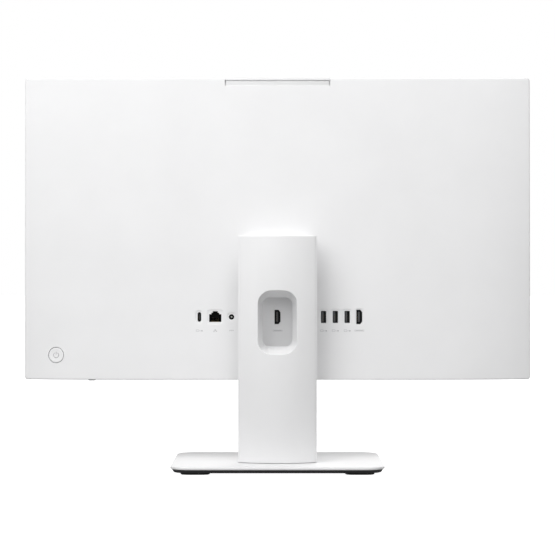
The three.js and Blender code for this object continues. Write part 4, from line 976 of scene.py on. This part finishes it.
def front_shell_outline(inset, rear, steps=8):
    half = COLUMN_HALF - inset
    radius = 5 * mm - inset
    front = SHELL_LOW.y + inset
    left = [(-half + radius - radius * math.cos(a), front + radius - radius * math.sin(a))
            for a in [math.pi / 2 * i / steps for i in range(steps + 1)]]
    right = [(-x, y) for x, y in reversed(left)]
    return left + right + [(half, rear), (-half, rear)]


def build_column_front():
    bottom, top = SHELL_LOW.z, SHELL_HIGH.z
    shell = loft("column_front_shell", [
        [(x, y, z) for x, y in front_shell_outline(inset, COLUMN_SEAM)]
        for inset, z in rounded_ends(bottom, top, (0.5 * mm, 3), (1.4 * mm, 6))
    ])
    hollow = loft("hollow", [
        [(x, y, z) for x, y in front_shell_outline(COLUMN_WALL, COLUMN_SEAM + 1 * mm)]
        for z in (bottom - 1 * mm, top - COLUMN_WALL)
    ])
    combine(shell, [hollow])
    front = SHELL_LOW.y
    rim = metres((-1, 1.3), (0.1, 0.7), (0.5, 0.25), (1, 0), (5, 0))
    cable = plate(
        "cable_hole", lambda grow: grown(FUNNEL_END, grow, 10, (0, FUNNEL_Z)),
        [(front + along, grow) for along, grow in rim],
    )
    bracket = centre("hinge_column_bracket")
    slot_half, slot_up = 29.6 * mm, 14 * mm
    knuckles = rounded_block(
        "knuckle_slot", (-slot_half, front - 1 * mm, bracket.z - slot_up),
        (slot_half, front + 5 * mm, bracket.z + slot_up), 4 * mm,
    )
    combine(shell, [cable, knuckles])
    dress(shell, "stand", ["white"], "column_front_cover", 30)


# ---------- Base ----------
def base_rings(node, corner, levels):
    """Rounded outlines of a base piece. Levels are (inset, height) pairs."""
    low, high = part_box(node)
    size = (high.x - low.x, high.y - low.y, corner)
    return [[(x, y, z) for x, y in grown(size, -inset, 14)] for inset, z in levels]


def build_base():
    low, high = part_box("base_plate")
    corner = 22 * mm
    levels = [(0.8 * mm, low.z), (0.25 * mm, low.z + 0.25 * mm), (0.0, low.z + 0.8 * mm)]
    levels += [(inset, high.z - drop) for inset, drop in fillet(1.7 * mm, 6)]
    levels += [(4 * mm, high.z), (12 * mm, high.z)]
    top = loft("base_top_plate", base_rings("base_plate", corner, levels))
    dress(top, "stand", ["paint"], "base_plate", 40)

    pan_low, pan_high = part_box("base_underside")
    corner -= high.x - pan_high.x
    lean = 1.6 * mm
    levels = [(lean + 0.6 * mm, pan_low.z), (lean, pan_low.z + 0.5 * mm), (0.0, pan_high.z)]
    pan = loft("base_pan", base_rings("base_underside", corner, levels))
    tools = []
    margin = Vector((GAP, GAP, GAP))
    for place in ("front_left", "front_right", "rear_left", "rear_right"):
        node = f"rubber_foot_{place}"
        low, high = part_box(node)
        seat_low = low - margin - Vector((0, 0, 1 * mm))
        tools.append(rounded_block("seat", seat_low, high + margin, 8 * mm + GAP, axis="z", steps=8))
        foot = rounded_block(f"foot_pad_{place}", low, high, 8 * mm, 0.7 * mm, "z", 10)
        dress(foot, "stand", ["rubber"], node, 40)
    screw = centre("base_thumbscrew")
    upright = Matrix.Translation((screw.x, screw.y, pan_low.z)) @ Matrix.Rotation(-math.pi / 2, 4, "X")
    tools.append(turned("well", metres((12.6, 4), (12, -0.4), (12, -8)), 56, upright))
    combine(pan, tools)
    dress(pan, "stand", ["black"], "base_underside", 40)
    build_thumbscrew(screw)


def build_thumbscrew(at):
    """A knurled head with a coin slot, on a threaded shank."""
    low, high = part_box("base_thumbscrew")
    head, knurl = 9 * mm, 0.28 * mm
    points = 4 * 36  # four to each tooth of the knurl
    rings = []
    for up, shrink in metres((0, 0.8), (0.6, 0.1), (2.0, 0.1), (2.6, 0.6)):
        ring, z = [], low.z + up
        for i in range(points):
            radius = head - shrink - (knurl if i % 4 in (0, 1) else 0.0)
            a = 2 * math.pi * i / points
            ring.append((at.x + radius * math.cos(a), at.y + radius * math.sin(a), z))
        rings.append(ring)
    knob = loft("thumbscrew_head", rings)
    slot = rounded_block(
        "slot", (at.x - 6.3 * mm, at.y - 0.8 * mm, low.z - 1 * mm),
        (at.x + 6.3 * mm, at.y + 0.8 * mm, low.z + 1.2 * mm), 0.5 * mm, axis="z",
    )
    combine(knob, [slot])
    root, crest, pitch = 2.1 * mm, 2.5 * mm, 0.8 * mm
    start = low.z + 2.5 * mm
    profile = [(root, 0.0)]
    for i in range(int((high.z - start - 0.6 * mm) / pitch)):
        profile += [(root, i * pitch), (crest, (i + 0.5) * pitch)]
    profile.append((1.8 * mm, high.z - start))
    shank = turned("shank", profile, 24, Matrix.Translation((at.x, at.y, start)) @ quarter_turn("X"))
    whole = merged("base_thumbscrew_detail", [knob, shank])
    tidy_mesh(whole.data)
    dress(whole, "stand", ["steel"], "base_thumbscrew")


# ---------- Screen side ----------
def build_front():
    low, high = FRAME_LOW, FRAME_HIGH
    size, middle = (high.x - low.x, DISPLAY_HEIGHT, CORNER), (0, (low.z + high.z) / 2)
    levels = [(low.y + drop, -inset) for inset, drop in reversed(fillet(0.9 * mm))]
    levels += [(high.y - 0.15 * mm, 0.0), (high.y, -0.15 * mm)]
    bezel = plate("front_bezel", lambda grow: grown(size, grow, 8, middle), levels)
    glass_low, glass_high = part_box("lcd_glass")
    window = rounded_block(
        "window", (glass_low.x - GAP, low.y - 1 * mm, glass_low.z - GAP),
        (glass_high.x + GAP, high.y + 1 * mm, glass_high.z + GAP), 1.2 * mm,
    )
    wall = 2 * mm
    chin = rounded_block(
        "chin", (low.x + 2 * wall, low.y + wall, low.z + wall),
        (high.x - 2 * wall, high.y + 1 * mm, glass_low.z - GAP - wall), 0.5 * mm,
    )
    combine(bezel, [window, chin])
    dress(bezel, "display", ["white"], "front_frame")
    glass = rounded_block("screen_glass", glass_low, glass_high, 0.9 * mm, 0.2 * mm)
    dress(glass, "display", ["glass"], "lcd_glass", 50)


# ---------- Sockets ----------
def shifted_mouth(kind, node):
    """The mouth of a socket, round its own place on the row."""
    outline, x0 = mouth_outline(kind), centre(node).x
    return lambda grow: [(x + x0, z + PORT_ROW) for x, z in outline(grow)]


def tube(outline, back, front, wall, floor):
    """A socket body: a block with the mouth sunk into it, and a lip round the mouth."""
    outer = plate("shell", outline, [(back, wall), (front - 0.15 * mm, wall), (front, wall - 0.12 * mm)])
    hollow = [(back + floor, 0.0), (front - 0.3 * mm, 0.0), (front + 1 * mm, 0.35 * mm)]
    return combine(outer, [plate("inner", outline, hollow)])


def contact_row(count, pitch, size, place):
    """Gold strips side by side, from the middle outwards. size is (across, depth, thickness)."""
    across, depth, thickness = size
    x, y, z = place
    strips = []
    for i in range(count):
        offset = (i - (count - 1) / 2) * pitch
        low = (x, y, z + offset - across / 2)
        high = (x + thickness, y + depth, z + offset + across / 2)
        strips.append(rounded_block("strip", low, high, 0.04 * mm, steps=2))
    return strips


def metal_socket(node, kind, tongue, contacts):
    """A plated shell with a tongue and gold contacts inside, in one piece.

    In millimetres: tongue is (offset, thickness, height, set back), contacts (count, pitch, width, side)."""
    low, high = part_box(node)
    x, z = centre(node).x, PORT_ROW
    shell = tube(shifted_mouth(kind, node), low.y, high.y, 0.55 * mm, 2.4 * mm)
    offset, thick, tall, setback = (v * mm for v in tongue)
    blade = rounded_block(
        "blade", (x + offset - thick / 2, low.y + 2 * mm, z - tall / 2),
        (x + offset + thick / 2, high.y - setback, z + tall / 2), 0.25 * mm, 0.15 * mm,
    )
    count, pitch, across, side = contacts
    gilding = 0.06 * mm
    strip_x = x + offset + side * thick / 2 - (0 if side > 0 else gilding)
    size = (across * mm, high.y - setback - low.y - 4 * mm, gilding)
    strips = contact_row(count, pitch * mm, size, (strip_x, low.y + 3.4 * mm, z))
    body = joined(node.replace("port", "socket"), [(shell, 0), (blade, 1)] + [(s, 2) for s in strips])
    dress(body, "display", ["shell", "tongue", "gold"], node, 35)


def network_socket(node):
    low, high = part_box(node)
    x = centre(node).x
    body = rounded_block("body", low, high, 0.4 * mm, 0.15 * mm, steps=3)
    hollow = [(low.y + 2 * mm, 0.0), (high.y - 0.4 * mm, 0.0), (high.y + 1 * mm, 0.4 * mm)]
    combine(body, [plate("mouth", shifted_mouth("network", node), hollow)])
    bends = [(low.y + 2.2 * mm, 1.2 * mm), (low.y + 6 * mm, 2.4 * mm),
             (high.y - 2.5 * mm, 4.7 * mm), (high.y - 1.6 * mm, 4.9 * mm)]
    parts = [(body, 0)]
    for i in range(8):
        cx = x + (i - 3.5) * (1.02 * mm)
        wire = loft("wire", [
            [(cx + sx * 0.17 * mm, y, PORT_ROW - down + sz * 0.12 * mm)
             for sx, sz in ((-1, -1), (1, -1), (1, 1), (-1, 1))]
            for y, down in bends
        ])
        parts.append((wire, 1))
    dress(joined("network_socket", parts), "display", ["socket", "gold"], node)


def power_socket(node):
    low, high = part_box(node)
    back, front = low.y, high.y
    at = Matrix.Translation((centre(node).x, 0, PORT_ROW))
    bore, wall, floor = 2.65 * mm, 1.4 * mm, 2.5 * mm
    axis, lip = 0.2 * mm, 1.2 * mm
    barrel = [
        (axis, back), (bore + wall, back), (bore + wall, front - 0.2 * mm), (bore + wall - 0.2 * mm, front),
        (bore + 0.3 * mm, front), (bore, front - 0.4 * mm), (bore, back + floor), (axis, back + floor),
    ]
    pin = [(0.1 * mm, back + 2 * mm), (0.95 * mm, back + 2 * mm), (0.95 * mm, front - lip),
           (0.7 * mm, front - 0.6 * mm), (0.1 * mm, front - 0.4 * mm)]
    inner, outer, foot = bore - 0.25 * mm, bore - 0.02 * mm, back + 2.6 * mm
    sleeve = [(inner, foot), (outer, foot), (outer, front - lip), (inner, front - lip), (inner, foot)]
    parts = [turned("barrel", barrel, 40, at), turned("pin", pin, 24, at), turned("sleeve", sleeve, 40, at)]
    whole = joined("power_socket", zip(parts, (0, 1, 2)))
    dress(whole, "display", ["socket", "nickel", "shell"], node)


def build_sockets():
    for number in (1, 2, 3):
        metal_socket(f"usb_a_port_{number}", "usb_a", (0.9, 1.9, 10.8, 1.2), (4, 2.25, 1.1, -1))
    metal_socket("usb_c_port", "usb_c", (0.0, 0.8, 6.6, 1.2), (12, 0.5, 0.26, 1))
    for node in ("video_port_middle", "video_port_side"):
        metal_socket(node, "video", (0.3, 1.8, 10.6, 1.2), (10, 1.0, 0.45, 1))
    network_socket("network_port")
    power_socket("power_inlet")
    jack = bevelled_copy("headset_jack", "headset_socket", 0.25 * mm)
    dress(jack, "display", ["socket"], "headset_jack")


# ---------- Printed symbols below the sockets ----------
def symbol(kind):
    """Flat shapes of a symbol, as polygons in millimetres."""
    line = 0.28

    def box(x0, z0, x1, z1):
        return [(x0, z0), (x1, z0), (x1, z1), (x0, z1)]

    def ring(width, height, x=0.0, z=0.0):
        w, h = width / 2, height / 2
        return [box(x - w, z - h, x + w, z - h + line), box(x - w, z + h - line, x + w, z + h),
                box(x - w, z - h, x - w + line, z + h), box(x + w - line, z - h, x + w, z + h)]

    if kind in ("usb_a", "usb_c"):
        return ring(3.2, 2.0, -1.9) + [box(-0.2, -0.5, 2.2, -0.15), box(2.2, -0.9, 3.5, 0.25)]
    if kind == "video":
        return ring(10, 1.5) + [box(-3.8, -0.18, 3.8, 0.18)]
    if kind == "network":
        return ring(1.2, 1.0, 0, 0.9) + ring(1.2, 1.0, -1.3, -0.8) + ring(1.2, 1.0, 1.3, -0.8) + [
            box(-0.14, -0.1, 0.14, 0.4), box(-1.4, -0.3, 1.4, -0.02)]
    return [box(-2.3, 0.25, 2.3, 0.6)] + [box(x - 0.5, -0.5, x + 0.5, -0.15) for x in (-1.8, 0, 1.8)]


def build_symbols():
    """Thin printed marks that lie just proud of the back cover."""
    row = PORT_ROW - 14.4 * mm
    vertices, faces = [], []
    for node in PORT_NODES:
        x0 = centre(node).x
        for polygon in symbol(port_kind(node)):
            first = len(vertices)
            for x, z in polygon:
                px, pz = x0 - x * mm, row + z * mm
                vertices.append((px, rear_y(px, pz) + 0.03 * mm, pz))
            faces.append(tuple(range(first, len(vertices))))
    marks = mesh_object("socket_symbols", vertices, faces)
    thick = marks.modifiers.new("ink", "SOLIDIFY")
    thick.thickness = 0.03 * mm
    thick.offset = 0.0
    apply_modifiers(marks)
    dress(marks, "display", ["ink"], angle=0)


# ---------- Camera ----------
def build_camera():
    housing = bevelled_copy("camera_housing", "camera_body", 0.35 * mm, 3)
    dress(housing, "camera", ["white"], "camera_housing")
    low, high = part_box("camera_window")
    pane = rounded_block("camera_pane", low, high, 1.2 * mm, 0.15 * mm)
    lens = centre("camera_lens")
    lens_low, lens_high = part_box("camera_lens")
    at_hole = Matrix.Translation((lens.x, low.y, lens.z))
    combine(pane, [turned("hole", metres((3.4, -2), (3.4, 3)), 40, at_hole)])
    dress(pane, "camera", ["glass"], "camera_window", 50)
    depth = lens_high.y - lens_low.y
    profile = metres((0.2, 0), (1.6, 0.15), (2.4, 0.5), (2.6, 0.45), (3.3, 0.1), (3.9, 0.1), (4, 0.3))
    profile += [(4 * mm, depth), (0.2 * mm, depth)]
    barrel = turned("camera_lens_barrel", profile, 48, Matrix.Translation((lens.x, lens_low.y, lens.z)))
    dress(barrel, "camera", ["lens", "black"], "camera_lens")
    paint_faces(barrel, 1, lambda c, n: math.hypot(c.x - lens.x, c.z - lens.z) > 2.5 * mm)


# ---------- Hinge ----------
def build_hinge():
    low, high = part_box("hinge_collar")
    sleeve = rounded_block("collar_sleeve", low, high, 1.2 * mm, 0.5 * mm, steps=8)
    wall = Vector((2 * mm, -1 * mm, 2 * mm))
    combine(sleeve, [rounded_block("inner", low + wall, high - wall, 1 * mm)])
    dress(sleeve, "display", ["white"], "hinge_collar")
    for node, body in (("hinge_column_bracket", "stand"), ("hinge_display_bracket", "display")):
        dress(bevelled_copy(node, node + "_detail", 0.4 * mm), body, ["steel"], node)
    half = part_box("hinge_shaft")[1].x
    chamfer = 0.4 * mm
    profile = [(0.2 * mm, -half), (2.6 * mm, -half), (3 * mm, -half + chamfer), (3 * mm, half - chamfer),
               (2.6 * mm, half), (0.2 * mm, half)]
    at = Matrix.Translation(centre("hinge_shaft")) @ quarter_turn("Z")
    dress(turned("hinge_pin", profile, 40, at), "stand", ["steel"], "hinge_shaft")
    for side in ("left", "right"):
        nut = bevelled_copy(f"hinge_nut_{side}", f"lock_nut_{side}", 0.3 * mm)
        dress(nut, "stand", ["steel"], f"hinge_nut_{side}")


# ---------- Inner pieces keep their own shape ----------
INNER_FINISH = {
    "steel": """column_spine chassis clock_battery hinge_screw_low_left hinge_screw_low_right
        hinge_screw_high_left hinge_screw_high_right""",
    "aluminium": "backlight_tray fin_stack",
    "acrylic": "light_guide",
    "board": """led_strip timing_board motherboard memory_card_lower memory_card_upper
        wireless_card solid_state_drive camera_board power_switch_board""",
    "chip": "processor",
    "copper": "heat_spreader heat_pipe aerial_left aerial_right",
    "black": "blower_housing fan_rotor speaker_left speaker_right camera_guide",
}


def finish_inner_pieces():
    for finish, nodes in INNER_FINISH.items():
        for node in nodes.split():
            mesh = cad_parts[node].data
            mesh.materials.clear()
            mesh.materials.append(FINISH[finish])


# ---------- Floor, light and camera ----------
def build_stage():
    floor = mesh_object("floor", [(-20, -20, 0), (20, -20, 0), (20, 20, 0), (-20, 20, 0)], [(0, 1, 2, 3)])
    floor.location.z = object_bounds()[0][2] - 0.0002
    material, w, shader = principled(
        "pale_floor", Roughness=0.7, Specular_IOR_Level=0.2, Emission_Color=WHITE
    )
    mottle = w.group("soft_mottle", Color=(0.35, 0.35, 0.35, 1), Patches_per_metre=2.0, Amount=0.01)
    seen = w.node("ShaderNodeLightPath").outputs["Is Camera Ray"]
    from_below = w.node("ShaderNodeNewGeometry").outputs["Backfacing"]
    # Clear from below, so that the underside can be seen.
    clear = w.math("SUBTRACT", 1.0, from_below)
    w.fill(shader, Base_Color=mottle["Color"], Emission_Strength=seen, Alpha=clear)
    floor.data.materials.append(material)


def area_light(name, place, target, size, energy):
    data = bpy.data.lights.new(name, "AREA")
    data.shape = "RECTANGLE"
    data.size, data.size_y = size
    data.energy = energy
    lamp = new_object(name, data)
    lamp.location = place
    lamp.rotation_euler = (Vector(target) - Vector(place)).to_track_quat("-Z", "Y").to_euler()


def build_light():
    world = bpy.data.worlds.new("studio")
    world.use_nodes = True
    w = Wiring(world.node_tree)
    diffuse = w.node("ShaderNodeLightPath").outputs["Is Diffuse Ray"]
    background = world.node_tree.nodes["Background"].inputs
    w.fill(background, Color=WHITE, Strength=w.range(diffuse, 0.0, 1.0, 1.0, 0.42))
    bpy.context.scene.world = world
    area_light("key_light", (0.75, 1.25, 0.95), (0.05, 0, 0.3), (0.8, 0.8), 5.6)
    area_light("top_light", (0.2, 0.7, 1.5), (0.0, 0, 0.25), (1.6, 0.8), 14)
    area_light("wide_light", (0.0, 2.4, 1.0), (0.0, 0, 0.25), (2.0, 1.2), 7.8)
    area_light("front_light", (-0.9, -2.2, 1.3), (0, 0, 0.25), (1.4, 1.0), 26)


def build_camera_view():
    data = bpy.data.cameras.new("view")
    data.sensor_width = 36
    data.lens = 131.7
    view = new_object("view", data)
    view.location = (0, 2.1625, 0.202)
    view.rotation_euler = (math.pi / 2, 0, math.pi)
    bpy.context.scene.camera = view
    bpy.context.scene.view_settings.view_transform = "Standard"


build_back_cover()
build_power_button()
build_column_rear()
build_column_front()
build_base()
build_front()
build_sockets()
build_symbols()
build_camera()
build_hinge()
finish_inner_pieces()
build_stage()
build_light()
build_camera_view()
